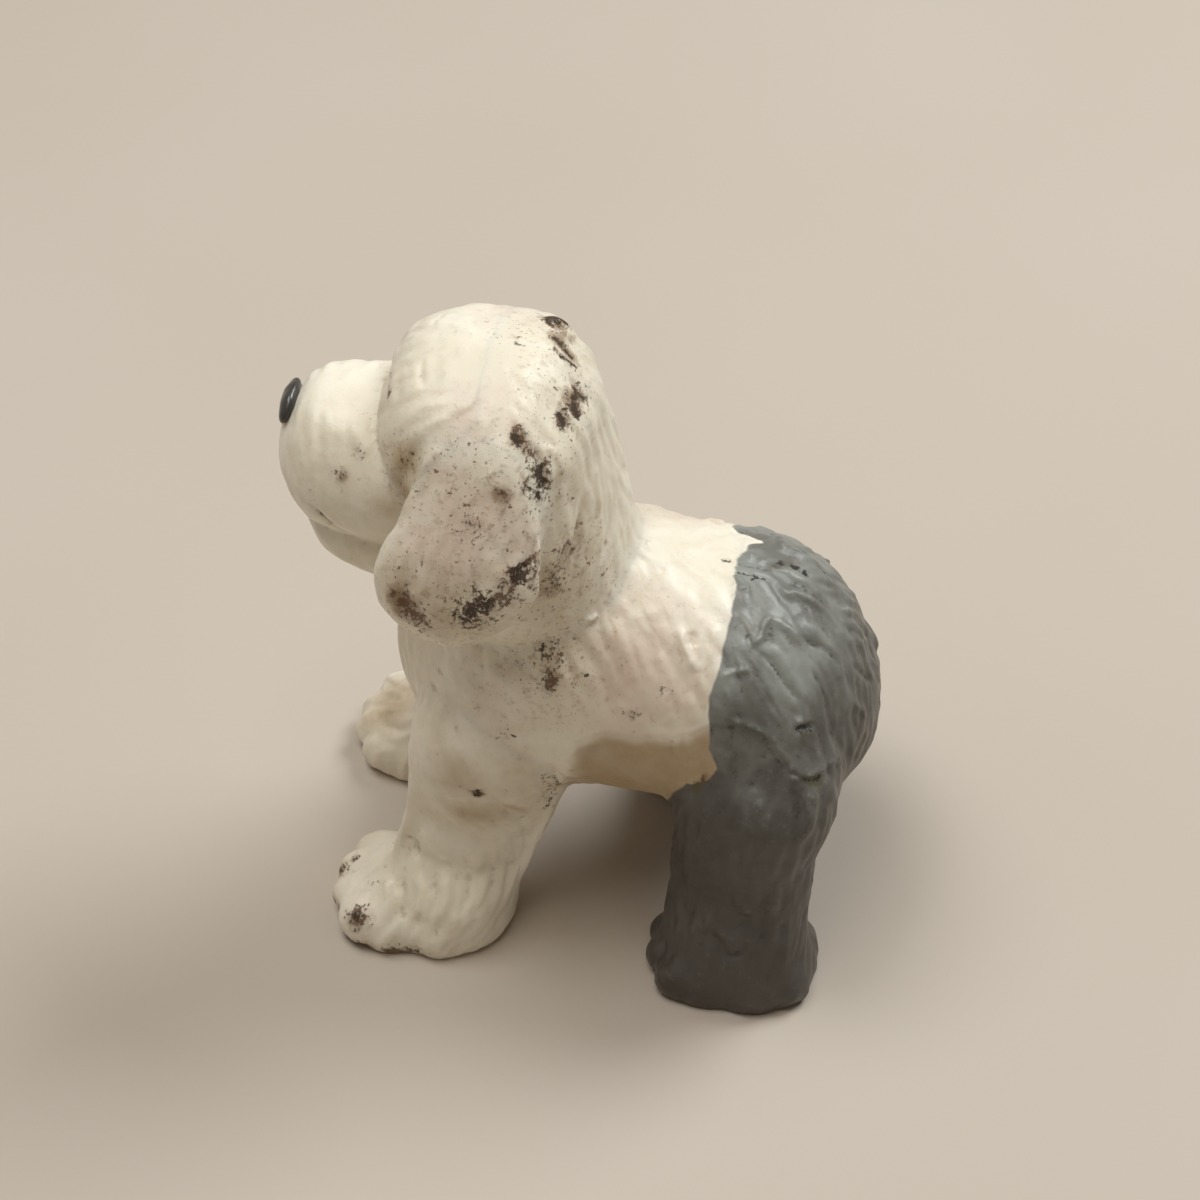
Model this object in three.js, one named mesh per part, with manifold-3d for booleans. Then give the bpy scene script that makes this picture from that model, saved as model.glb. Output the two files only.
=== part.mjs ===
// A small moulded toy dog: a long-haired sheepdog puppy that stands on four straight legs and looks
// ahead. Millimetres, +Z up. The dog faces -X and its left side is -Y. While the pieces are formed, X
// is measured from a line a little behind the shoulders; at the end the figure is shifted so that its
// origin is on the ground under the middle of its outline. Each piece is a solid moulding, glued into
// pockets in its neighbours.
import * as THREE from "three";
import { mergeVertices } from "three/addons/utils/BufferGeometryUtils.js";
import Module from "manifold-3d";

const wasm = await Module();
wasm.setup();

// Glue joints
const GLUE_GAP = 0.3; // between a piece and the pocket that it is seated in
const PEG_RADIUS = 2.4; // waist peg, part of the hindquarters
const PEG_CLEARANCE = 0.3;
const PEG_LENGTH = 4; // forward of the waist
const PEG_ROOT = 2; // back into the hindquarters
const PEG_RISE = 3.8; // above the trunk's middle, clear of the thighs

// Trunk. It stands on the legs, so its height follows their lengths.
const FRONT_LEG_LENGTH = 19.2; // sole to the top of the lobe inside the trunk
const REAR_LEG_LENGTH = 18.6;
const BODY_LENGTH = 28.1; // chest to rump
const RUMP_LENGTH = 8.6; // the part behind the waist
const SHOULDER_SEAT = 1.6; // tops of the front legs above the trunk's middle
const HIP_SEAT = 1.8; // tops of the rear legs above it
const CHEST_X = -10.9;
const RUMP_X = CHEST_X + BODY_LENGTH;
const WAIST_X = RUMP_X - RUMP_LENGTH; // where the pale coat ends and the grey coat begins
const SPINE_Z = FRONT_LEG_LENGTH - SHOULDER_SEAT; // middle of the trunk at the shoulders
const CROUP_Z = REAR_LEG_LENGTH - HIP_SEAT; // middle of the trunk at the waist
const CHEST_WIDTH = 12.6;
const SHOULDER_WIDTH = 16.4;
const LOIN_WIDTH = 15.8;
const RUMP_WIDTH = 16.4;
const WITHERS_RISE = 8.9; // from the trunk's middle up to the back
const CHEST_DROP = 8.3; // from the trunk's middle down to the belly
const CHEST_DOME = 5;
const RUMP_DOME = 8;

// Skull and neck
const HEAD_HEIGHT = 18.5; // foot of the neck to the crown
const SKULL_SETBACK = 6.3; // its middle behind the chest
const NECK_RISE = 3.2; // foot of the neck above the trunk's middle
const SKULL_X = CHEST_X + SKULL_SETBACK;
const NECK_SEAT_Z = SPINE_Z + NECK_RISE; // foot of the neck in its pocket
const CROWN_Z = NECK_SEAT_Z + HEAD_HEIGHT;
const SKULL_WIDTH = 14.6;
const CHEEK_WIDTH = 15.4;
const NECK_WIDTH = 12.4;
const FACE_REACH = 5.9; // from the skull's middle forward to the face
const NAPE_REACH = 5.9; // from the skull's middle back to the nape
const NECK_SETBACK = 1; // the neck's foot is behind the skull's middle
const CROWN_DOME = 4.8;
const NECK_DOME = 4;

// Muzzle, jaw and nose
const MUZZLE_LENGTH = 6.6; // from the face to the tip
const MUZZLE_ROOT = 4; // inside the skull
const MUZZLE_WIDTH = 10.6;
const MUZZLE_FALL = 8.5; // its middle below the crown
const MUZZLE_Z = CROWN_Z - MUZZLE_FALL;
const MUZZLE_RISE = 4.5; // from its middle up to the bridge
const FLEW_DROP = 5; // from its middle down to the lips
const JAW_LENGTH = 5.4;
const JAW_ROOT = 2.2;
const JAW_WIDTH = 8.6;
const JAW_FALL = 13.9; // its middle below the crown
const JAW_Z = CROWN_Z - JAW_FALL;
const JAW_DEPTH = 6; // at its root
const JAW_TILT = 1.6; // its tip is this much higher than its root
const NOSE_WIDTH = 3.6;
const NOSE_HEIGHT = 2.6;
const NOSE_RISE = 2.3; // above the muzzle's middle
const NOSE_PROUD = 0.15; // out of the muzzle
const NOSE_ROOT = 2.4; // inside the muzzle

// Fringe and eyes
const FRINGE_WIDTH = 14.2;
const FRINGE_THICKNESS = 5.4;
const FRINGE_DROP = 3.2; // from its thickest line forward to the free edge
const FRINGE_SWEEP = 4.6; // from its thickest line back onto the crown
const FRINGE_OVERHANG = 0.65; // forward of the face
const FRINGE_SLOPE = 0.47; // radians that it falls forward
const FRINGE_LOW = 3; // its middle below the crown
const FRINGE_ARCH = 3.1; // its ends are this much lower than its middle
const FRINGE_WRAP = 2; // its ends are this much further back
const EYE_DIAMETER = 1.9;
const EYE_SPACING = 6;
const EYE_FALL = 4.3; // its middle below the crown
const EYE_Z = CROWN_Z - EYE_FALL;
const EYE_INSET = 1.4; // behind the face, so that the hair hides it from the side
const SOCKET_REACH = 3.7; // how far the hollow before an eye runs forward through the hair

// Ears
const EAR_LENGTH = 13.4;
const EAR_BREADTH = 9.8;
const EAR_THICKNESS = 2.8;
const EAR_FALL = 1.5; // its root below the crown
const EAR_ROOT_Z = CROWN_Z - EAR_FALL;
const EAR_SPREAD = 8.2; // from the midplane to the middle of the flap
const EAR_LEAN = 3.4; // its root leans in to the skull
const EAR_SWING = 1.4; // its tip hangs this much further forward

// Front legs
const FRONT_LEG_SETBACK = 6; // its middle behind the chest
const FRONT_LEG_X = CHEST_X + FRONT_LEG_SETBACK;
const FRONT_TRACK = 13.2; // between the middles of the soles
const FRONT_LEG_DEPTH = 8.6; // front to back
const FRONT_LEG_BREADTH = 7.4; // side to side
const FRONT_LEG_RAKE = 1.8; // the sole is this much further forward than the shoulder
const FRONT_LEG_LEAN = 1.4; // the shoulder leans in
const FRONT_PAW_REACH = 4.2; // the paw's middle ahead of the shoulder
const FRONT_RIGHT_AHEAD = 1.6; // the right front paw stands a little further forward

// Rear legs
const REAR_LEG_INSET = 6.2; // its middle ahead of the rump
const REAR_LEG_X = RUMP_X - REAR_LEG_INSET;
const REAR_TRACK = 15.6;
const REAR_LEG_DEPTH = 9.2;
const REAR_LEG_BREADTH = 7.4;
const REAR_PAW_REACH = 1;
const REAR_RIGHT_AHEAD = 3.2; // the right rear paw stands further forward
const THIGH_DEPTH = 10.6;
const THIGH_SETBACK = 0.8; // the thigh's top is behind the leg's middle
const THIGH_LEAN = 2.3; // the thigh leans in

// Paws
const PAW_LENGTH = 10;
const PAW_WIDTH = 7.2;
const PAW_HEIGHT = 4.6;
const SOLE_EDGE = 0.4; // rounding where a leg meets the ground
const TOE_COUNT = 4;
const TOE_LENGTH = 4.5;
const TOE_WIDTH = 2.25;
const TOE_HEIGHT = 3.4;
const TOE_INSET = 2; // middle of a toe behind the paw's tip
const TOE_FAN = 7; // the outer toes sit back by this times their share of the paw's width, squared

const PALE = { color: 0xe9e3d2, roughness: 0.5, metalness: 0 };
const GREY = { color: 0x6e7170, roughness: 0.45, metalness: 0 };
const BLACK = { color: 0x26261f, roughness: 0.3, metalness: 0 };

const LEFT = -1;
const RIGHT = 1;
const FORWARD = new THREE.Vector3(-1, 0, 0);
const ACROSS = new THREE.Vector3(0, 1, 0);
const UP = new THREE.Vector3(0, 0, 1);
const ROOM = 100; // wider than the whole figure

// A solid for joining and cutting, from a closed geometry
function solidOf(geometry) {
  const bare = geometry.clone();
  bare.deleteAttribute("normal");
  bare.deleteAttribute("uv");
  const merged = mergeVertices(bare, 1e-4);
  return new wasm.Manifold(
    new wasm.Mesh({
      numProp: 3,
      vertProperties: merged.getAttribute("position").array,
      triVerts: new Uint32Array(merged.index.array),
    }),
  );
}

const less = (solid, ...cutters) => cutters.reduce((left, cutter) => left.subtract(cutter), solid);

// A rounded skin through oval sections. A section has its middle "at" and its half widths: "wide" to
// both sides, "fore" towards the forward direction and "back" against it. The skin closes over its
// two ends in domes of the lengths startDome and endDome, and "grow" swells all of it evenly.
function loft({ sections, side, forward, startDome, endDome, rings, around, grow = 0 }) {
  const path = new THREE.CatmullRomCurve3(sections.map(({ at }) => new THREE.Vector3(...at)));
  const reach = new THREE.CatmullRomCurve3(
    sections.map(({ wide, fore, back }) => new THREE.Vector3(wide, fore, back ?? fore)),
  );
  const start = path.getPoint(0);
  const end = path.getPoint(1);
  const outOfStart = start.clone().sub(path.getPoint(0.02)).normalize();
  const outOfEnd = end.clone().sub(path.getPoint(0.98)).normalize();
  const points = [start.clone().addScaledVector(outOfStart, grow)];
  for (let ring = 1; ring < rings; ring++) {
    const t = (1 - Math.cos((Math.PI * ring) / rings)) / 2;
    const middle = path.getPoint(t);
    const { x: wide, y: fore, z: back } = reach.getPoint(t);
    const fromStart = Math.min(middle.distanceTo(start) / startDome, 1);
    const fromEnd = Math.min(middle.distanceTo(end) / endDome, 1);
    const dome = Math.sqrt(1 - (1 - fromStart) ** 2) * Math.sqrt(1 - (1 - fromEnd) ** 2);
    for (let step = 0; step < around; step++) {
      const angle = (2 * Math.PI * step) / around;
      const across = Math.cos(angle) * (wide * dome + grow);
      const ahead = Math.sin(angle) * ((Math.sin(angle) > 0 ? fore : back) * dome + grow);
      points.push(middle.clone().addScaledVector(side, across).addScaledVector(forward, ahead));
    }
  }
  points.push(end.clone().addScaledVector(outOfEnd, grow));
  const faces = [];
  const lastRing = 1 + (rings - 2) * around;
  for (let step = 0; step < around; step++) {
    const next = (step + 1) % around;
    faces.push([0, 1 + next, 1 + step], [lastRing + step, lastRing + next, points.length - 1]);
    for (let ring = 1; ring < lastRing; ring += around) {
      faces.push([ring + step, ring + next, ring + around + step]);
      faces.push([ring + next, ring + around + next, ring + around + step]);
    }
  }
  const along = end.clone().sub(start);
  const facesOut = side.clone().cross(forward).dot(along) > 0;
  const geometry = new THREE.BufferGeometry().setFromPoints(points);
  geometry.setIndex(faces.flatMap((face) => (facesOut ? face : face.toReversed())));
  return solidOf(geometry);
}

// The trunk from chest to rump, before it is divided at the waist
function trunk() {
  const section = (share, z, width, rise, drop) => ({
    at: [CHEST_X + share * (RUMP_X - CHEST_X), 0, z],
    wide: width / 2, fore: WITHERS_RISE * rise, back: CHEST_DROP * drop,
  });
  return loft({
    sections: [
      section(0, SPINE_Z * 0.966, CHEST_WIDTH * 0.72, 0.67, 0.72),
      section(0.12, SPINE_Z * 0.989, CHEST_WIDTH, 0.92, 0.9),
      section(0.3, SPINE_Z, SHOULDER_WIDTH, 1, 1),
      section(0.5, SPINE_Z * 0.989, LOIN_WIDTH * 0.99, 0.94, 0.93),
      section(0.7, CROUP_Z, LOIN_WIDTH, 0.92, 0.9),
      section(0.84, CROUP_Z * 0.964, RUMP_WIDTH, 0.94, 0.89),
      section(1, CROUP_Z * 0.905, RUMP_WIDTH * 0.93, 0.9, 0.8),
    ],
    side: ACROSS, forward: UP, startDome: CHEST_DOME, endDome: RUMP_DOME, rings: 21, around: 26,
  });
}

// The trunk between two planes across it
function trunkBetween(fromX, toX) {
  const slab = new THREE.BoxGeometry(toX - fromX, ROOM, ROOM);
  slab.translate((fromX + toX) / 2, 0, SPINE_Z);
  return trunk().intersect(solidOf(slab));
}

function waistPeg(radius, length) {
  const peg = new THREE.CylinderGeometry(radius, radius, length + PEG_ROOT, 18);
  peg.rotateZ(Math.PI / 2);
  peg.translate(WAIST_X - (length - PEG_ROOT) / 2, 0, CROUP_Z + PEG_RISE);
  return solidOf(peg);
}

// The skull with the neck under it, down to its seat between the shoulders
function skull(grow) {
  const section = (share, setback, width, fore, back) => ({
    at: [SKULL_X + setback * NECK_SETBACK, 0, CROWN_Z - share * (CROWN_Z - NECK_SEAT_Z)],
    wide: width / 2, fore: FACE_REACH * fore, back: NAPE_REACH * back,
  });
  return loft({
    sections: [
      section(0, 0.2, SKULL_WIDTH * 0.945, 0.83, 0.76),
      section(0.22, 0, SKULL_WIDTH, 0.97, 0.93),
      section(0.47, 0.2, CHEEK_WIDTH, 1, 1.05),
      section(0.7, 0.6, CHEEK_WIDTH * 0.97, 1, 1.14),
      section(1, 1, NECK_WIDTH, 0.93, 1.17),
    ],
    side: ACROSS, forward: FORWARD, startDome: CROWN_DOME, endDome: NECK_DOME, rings: 18, around: 24, grow,
  });
}

const FACE_X = SKULL_X - FACE_REACH;
const MUZZLE_TIP_X = FACE_X - MUZZLE_LENGTH;

function muzzleForm(grow) {
  const section = (x, width, rise, drop) => ({
    at: [x, 0, MUZZLE_Z], wide: (MUZZLE_WIDTH / 2) * width, fore: MUZZLE_RISE * rise, back: FLEW_DROP * drop,
  });
  return loft({
    sections: [
      section(MUZZLE_TIP_X, 0.64, 0.84, 0.45),
      section(MUZZLE_TIP_X + MUZZLE_LENGTH * 0.42, 0.87, 0.96, 0.85),
      section(FACE_X + MUZZLE_ROOT * 0.1, 1, 1, 1),
      section(FACE_X + MUZZLE_ROOT, 1, 1, 1),
    ],
    side: ACROSS, forward: UP, startDome: MUZZLE_LENGTH * 0.4, endDome: MUZZLE_ROOT / 2,
    rings: 14, around: 20, grow,
  });
}

function jawForm(grow) {
  const tipX = FACE_X - JAW_LENGTH;
  const rootX = FACE_X + JAW_ROOT;
  const section = (share, lift, width, depth) => ({
    at: [tipX + share * (rootX - tipX), 0, JAW_Z + JAW_TILT * lift],
    wide: (JAW_WIDTH / 2) * width, fore: (JAW_DEPTH / 2) * depth,
  });
  return loft({
    sections: [section(0, 1, 0.56, 0.57), section(0.4, 0.5, 0.86, 0.83), section(1, 0, 1, 1)],
    side: ACROSS, forward: UP, startDome: JAW_DEPTH / 3, endDome: JAW_ROOT * 0.7,
    rings: 10, around: 14, grow,
  });
}

function noseForm(grow) {
  const section = (x, full) => ({
    at: [x, 0, MUZZLE_Z + NOSE_RISE], wide: (NOSE_WIDTH / 2) * full, fore: (NOSE_HEIGHT / 2) * full,
  });
  return loft({
    sections: [section(MUZZLE_TIP_X - NOSE_PROUD, 0.85), section(MUZZLE_TIP_X + NOSE_ROOT, 1)],
    side: ACROSS, forward: UP, startDome: NOSE_HEIGHT / 2, endDome: NOSE_ROOT / 3,
    rings: 8, around: 12, grow,
  });
}

// The hair that falls forward over the eyes, thick in the middle and drawn out thin onto the crown
function fringeForm(grow) {
  const down = FORWARD.clone().applyAxisAngle(ACROSS, -FRINGE_SLOPE);
  const out = UP.clone().applyAxisAngle(ACROSS, -FRINGE_SLOPE);
  const browX = FACE_X - FRINGE_OVERHANG + FRINGE_DROP;
  const section = (across, wrap, arch, full) => ({
    at: [browX + FRINGE_WRAP * wrap, (across * FRINGE_WIDTH) / 2, CROWN_Z - FRINGE_LOW - FRINGE_ARCH * arch],
    wide: (FRINGE_THICKNESS / 2) * full, fore: FRINGE_DROP * full, back: FRINGE_SWEEP * full,
  });
  return loft({
    sections: [
      section(-1, 1, 1, 0.75),
      section(-0.6, 0.3, 0.3, 0.95),
      section(0, 0, 0, 1),
      section(0.6, 0.3, 0.3, 0.95),
      section(1, 1, 1, 0.75),
    ],
    side: out, forward: down, startDome: FRINGE_THICKNESS / 2, endDome: FRINGE_THICKNESS / 2,
    rings: 15, around: 15, grow,
  });
}

const eyePlace = (side) => [FACE_X + EYE_INSET, (side * EYE_SPACING) / 2, EYE_Z];

function eyeForm(side, grow) {
  const eye = new THREE.SphereGeometry(EYE_DIAMETER / 2 + grow, 10, 6);
  return solidOf(eye.translate(...eyePlace(side)));
}

// The hollow round an eye, open to the front through the fringe
function eyeSocket(side) {
  const [x, y, z] = eyePlace(side);
  const radius = EYE_DIAMETER / 2 + GLUE_GAP;
  return loft({
    sections: [
      { at: [x + radius, y, z], wide: radius, fore: radius },
      { at: [x - SOCKET_REACH, y, z], wide: radius, fore: radius },
    ],
    side: ACROSS, forward: UP, startDome: radius, endDome: radius, rings: 8, around: 10,
  });
}

function earForm(side, grow) {
  const section = (share, swing, lean, fore, back) => ({
    at: [
      SKULL_X - EAR_SWING * swing,
      side * (EAR_SPREAD - EAR_LEAN * lean),
      EAR_ROOT_Z - EAR_LENGTH * share,
    ],
    wide: EAR_THICKNESS / 2, fore: EAR_BREADTH * fore, back: EAR_BREADTH * back,
  });
  return loft({
    sections: [
      section(0, -0.2, 1.1, 0.2, 0.16),
      section(0.24, -0.2, 0.6, 0.36, 0.3),
      section(0.6, 0.3, 0, 0.5, 0.52),
      section(1, 1, 0, 0.32, 0.32),
    ],
    side: ACROSS, forward: FORWARD, startDome: EAR_LENGTH * 0.17, endDome: EAR_LENGTH * 0.23,
    rings: 13, around: 16, grow,
  });
}

const frontAhead = (side) => (side === RIGHT ? FRONT_RIGHT_AHEAD : 0);
const rearAhead = (side) => (side === RIGHT ? REAR_RIGHT_AHEAD : 0);

function frontLegForm(side, grow) {
  const section = (height, rake, lean, step, breadth, fore, back) => ({
    at: [
      FRONT_LEG_X - FRONT_LEG_RAKE * rake - frontAhead(side) * step,
      side * (FRONT_TRACK / 2 - FRONT_LEG_LEAN * lean),
      FRONT_LEG_LENGTH * height,
    ],
    wide: (FRONT_LEG_BREADTH / 2) * breadth,
    fore: (FRONT_LEG_DEPTH / 2) * fore,
    back: (FRONT_LEG_DEPTH / 2) * back,
  });
  return loft({
    sections: [
      section(1, -0.1, 1, 0, 0.84, 0.95, 1.05),
      section(0.73, -0.05, 0.57, 0, 1, 1, 1.12),
      section(0.45, 0.17, 0.2, 0.4, 0.97, 1, 0.95),
      section(0.19, 0.78, 0, 0.8, 0.92, 1, 0.8),
      section(0, 1, 0, 1, 0.92, 1, 0.81),
    ],
    side: ACROSS, forward: FORWARD, startDome: FRONT_LEG_DEPTH / 2, endDome: SOLE_EDGE,
    rings: 12, around: 16, grow,
  });
}

function rearLegForm(side, grow) {
  const section = (height, setback, lean, step, breadth, fore, back) => ({
    at: [
      REAR_LEG_X + THIGH_SETBACK * setback - rearAhead(side) * step,
      side * (REAR_TRACK / 2 - THIGH_LEAN * lean),
      REAR_LEG_LENGTH * height,
    ],
    wide: (REAR_LEG_BREADTH / 2) * breadth, fore, back,
  });
  const thigh = THIGH_DEPTH / 2;
  const shank = REAR_LEG_DEPTH / 2;
  return loft({
    sections: [
      section(1, 1, 1, 0, 0.84, thigh * 0.81, thigh * 0.81),
      section(0.73, 0.63, 0.65, 0.1, 1.05, thigh, thigh * 0.76),
      section(0.46, 0, 0.35, 0.45, 1, shank, shank * 0.77),
      section(0.215, -0.38, 0.09, 0.8, 0.95, shank, shank * 0.8),
      section(0, -0.5, 0, 1, 0.92, shank, shank * 0.86),
    ],
    side: ACROSS, forward: FORWARD, startDome: REAR_LEG_DEPTH / 2, endDome: SOLE_EDGE,
    rings: 12, around: 16, grow,
  });
}

// A paw: a low pad with a row of toes in front. Its middle lies at x, y.
function pawForm(x, y) {
  const half = PAW_LENGTH / 2;
  const section = (ahead, width, height) => ({
    at: [x - half * ahead, y, PAW_HEIGHT * 0.13], wide: (PAW_WIDTH / 2) * width, fore: PAW_HEIGHT * height,
  });
  const pad = loft({
    sections: [section(-1, 0.78, 0.7), section(0, 1, 0.87), section(0.84, 0.92, 0.7)],
    side: ACROSS, forward: UP, startDome: half * 0.6, endDome: half * 0.68, rings: 10, around: 16,
  });
  let paw = pad;
  for (let toe = 0; toe < TOE_COUNT; toe++) {
    const share = (toe + 0.5) / TOE_COUNT - 0.5;
    const pebble = new THREE.SphereGeometry(0.5, 8, 6).scale(TOE_LENGTH, TOE_WIDTH, TOE_HEIGHT);
    const inset = TOE_INSET + TOE_FAN * share * share;
    pebble.translate(x - half + inset, y + share * PAW_WIDTH * 0.95, TOE_HEIGHT * 0.38);
    paw = paw.add(solidOf(pebble));
  }
  return paw;
}

// What is left of a leg and its paw above the ground
const ground = solidOf(new THREE.BoxGeometry(ROOM, ROOM, ROOM).translate(0, 0, -ROOM / 2));

function frontLeg(side) {
  const paw = pawForm(FRONT_LEG_X - FRONT_PAW_REACH - frontAhead(side), (side * FRONT_TRACK) / 2);
  return less(frontLegForm(side, 0).add(paw), ground);
}

function rearLeg(side) {
  const paw = pawForm(REAR_LEG_X - REAR_PAW_REACH - rearAhead(side), (side * REAR_TRACK) / 2);
  return less(rearLegForm(side, 0).add(paw), ground);
}

// Pockets: each is the form of the piece that is seated in it, swollen by the glue gap
const bothSides = (form) => [form(LEFT, GLUE_GAP), form(RIGHT, GLUE_GAP)];
const neckPocket = skull(GLUE_GAP);
const muzzlePocket = muzzleForm(GLUE_GAP);
const jawPocket = jawForm(GLUE_GAP);
const fringePocket = fringeForm(GLUE_GAP);
const earPockets = bothSides(earForm);
const eyePockets = bothSides(eyeForm);
const frontLegPockets = bothSides(frontLegForm);
const rearLegPockets = bothSides(rearLegForm);
const pegHole = waistPeg(PEG_RADIUS + PEG_CLEARANCE, PEG_LENGTH + PEG_CLEARANCE);

const forebody = less(
  trunkBetween(WAIST_X - ROOM, WAIST_X),
  pegHole, neckPocket, jawPocket, ...earPockets, ...frontLegPockets, ...rearLegPockets,
);
const hindquarters = less(trunkBetween(WAIST_X + GLUE_GAP, WAIST_X + ROOM), ...rearLegPockets);
const head = less(skull(0), muzzlePocket, jawPocket, fringePocket, ...earPockets, ...eyePockets);
const browFringe = less(fringeForm(0), muzzlePocket, ...earPockets, eyeSocket(LEFT), eyeSocket(RIGHT));

const figure = new THREE.Group();

function addPiece(name, solid, finish) {
  const { vertProperties, triVerts } = solid.getMesh();
  const geometry = new THREE.BufferGeometry();
  geometry.setAttribute("position", new THREE.BufferAttribute(new Float32Array(vertProperties), 3));
  geometry.setIndex(new THREE.BufferAttribute(new Uint32Array(triVerts), 1));
  geometry.computeVertexNormals();
  const mesh = new THREE.Mesh(geometry, new THREE.MeshStandardMaterial(finish));
  mesh.name = name;
  figure.add(mesh);
}

addPiece("forebody", forebody, PALE);
addPiece("hindquarters", hindquarters.add(waistPeg(PEG_RADIUS, PEG_LENGTH)), GREY);
addPiece("head", head, PALE);
addPiece("brow_fringe", browFringe, PALE);
addPiece("muzzle", less(muzzleForm(0), noseForm(GLUE_GAP), ...eyePockets), PALE);
addPiece("lower_jaw", less(jawForm(0), muzzlePocket), PALE);
addPiece("nose", noseForm(0), BLACK);
for (const [name, side] of [["left", LEFT], ["right", RIGHT]]) {
  addPiece(name + "_ear", earForm(side, 0), PALE);
  addPiece(name + "_eye", eyeForm(side, 0), BLACK);
  addPiece("front_" + name + "_leg", frontLeg(side), PALE);
  addPiece("rear_" + name + "_leg", rearLeg(side), GREY);
}

const outline = new THREE.Box3().setFromObject(figure);
const middle = outline.getCenter(new THREE.Vector3());
figure.position.set(-middle.x, -middle.y, -outline.min.z);

export default figure;
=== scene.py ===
# Dresses a small moulded sheepdog puppy: its skin of sculpted hair, paint, grime and painted shade, floor,
# lamps and camera
import sys
import logging
import math
from dataclasses import dataclass, replace
from enum import Enum, IntEnum
from itertools import chain
from typing import Callable, ClassVar

import bpy
import numpy as np
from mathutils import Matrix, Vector
from mathutils.bvhtree import BVHTree


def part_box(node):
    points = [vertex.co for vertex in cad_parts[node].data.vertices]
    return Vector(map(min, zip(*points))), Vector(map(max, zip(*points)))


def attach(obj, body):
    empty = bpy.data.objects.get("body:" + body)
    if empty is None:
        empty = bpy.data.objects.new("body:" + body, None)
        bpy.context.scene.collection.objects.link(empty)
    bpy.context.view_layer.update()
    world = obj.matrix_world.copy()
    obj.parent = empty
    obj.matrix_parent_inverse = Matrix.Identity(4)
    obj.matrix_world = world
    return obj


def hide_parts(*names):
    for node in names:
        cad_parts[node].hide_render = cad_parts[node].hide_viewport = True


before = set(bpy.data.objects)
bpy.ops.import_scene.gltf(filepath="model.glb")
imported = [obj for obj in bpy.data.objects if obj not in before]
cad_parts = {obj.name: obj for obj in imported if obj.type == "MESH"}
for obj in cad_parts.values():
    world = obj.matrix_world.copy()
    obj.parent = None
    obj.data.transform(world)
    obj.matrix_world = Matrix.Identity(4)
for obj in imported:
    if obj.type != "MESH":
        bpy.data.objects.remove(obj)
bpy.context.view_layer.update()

MM = 0.001
SAME_PLACE = 1e-4
BORDER_ROUNDS = 14
FORWARD = np.array((-1.0, 0.0, 0.0))
ACROSS = np.array((0.0, 1.0, 0.0))
UP = np.array((0.0, 0.0, 1.0))
Array = np.ndarray
Place = tuple[float, float, float]
Colour = tuple[int, int, int]
Face = tuple[int, ...]
Socket = bpy.types.NodeSocket
log = logging.getLogger("puppy")


class Side(IntEnum):
    """Side of the animal, as the sign of its distance across."""

    LEFT = -1
    RIGHT = 1


class Slot(Enum):
    """Material slots of the record."""

    PALE = "pale_vinyl"
    GREY = "grey_vinyl"
    BLACK = "black_gloss"


def box_of(node: str) -> tuple[Array, Array]:
    """Gives the corners of a CAD node in millimetres.

    Args:
        node: Name of the node.

    Returns:
        The lowest and the highest corner.
    """
    low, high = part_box(node)
    return np.array(low) / MM, np.array(high) / MM


def ramp(values: Array, start: float, end: float) -> Array:
    """Rises smoothly from 0 at start to 1 at end.

    Args:
        values: Where to take it.
        start: Value at which it leaves 0.
        end: Value at which it reaches 1.

    Returns:
        Numbers from 0 to 1.
    """
    share = np.clip((values - start) / (end - start), 0.0, 1.0)
    return share * share * (3.0 - 2.0 * share)


def unit(vectors: Array) -> Array:
    """Scales each row to length 1."""
    return vectors / np.maximum(np.linalg.norm(vectors, axis=-1, keepdims=True), 1e-9)


def in_scene(name: str, data: bpy.types.ID) -> bpy.types.Object:
    """Makes an object of a mesh, a lamp or a camera and puts it in the scene."""
    holder = bpy.data.objects.new(name, data)
    bpy.context.scene.collection.objects.link(holder)
    return holder


def smooth_mesh(name: str, points: Array, corners: Array, sizes: Array) -> bpy.types.Mesh:
    """Makes a smooth-shaded Blender mesh.

    Args:
        name: Name of the mesh.
        points: One row for each point.
        corners: The points of all faces, one face after the other.
        sizes: Number of corners of each face.

    Returns:
        The new mesh.
    """
    mesh = bpy.data.meshes.new(name)
    mesh.vertices.add(len(points))
    mesh.vertices.foreach_set("co", points.astype(np.float32).ravel())
    mesh.loops.add(len(corners))
    mesh.loops.foreach_set("vertex_index", corners.astype(np.int32))
    mesh.polygons.add(len(sizes))
    mesh.polygons.foreach_set("loop_start", (np.cumsum(sizes) - sizes).astype(np.int32))
    mesh.update(calc_edges=True)
    mesh.polygons.foreach_set("use_smooth", np.ones(len(sizes), dtype=bool))
    return mesh


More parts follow.
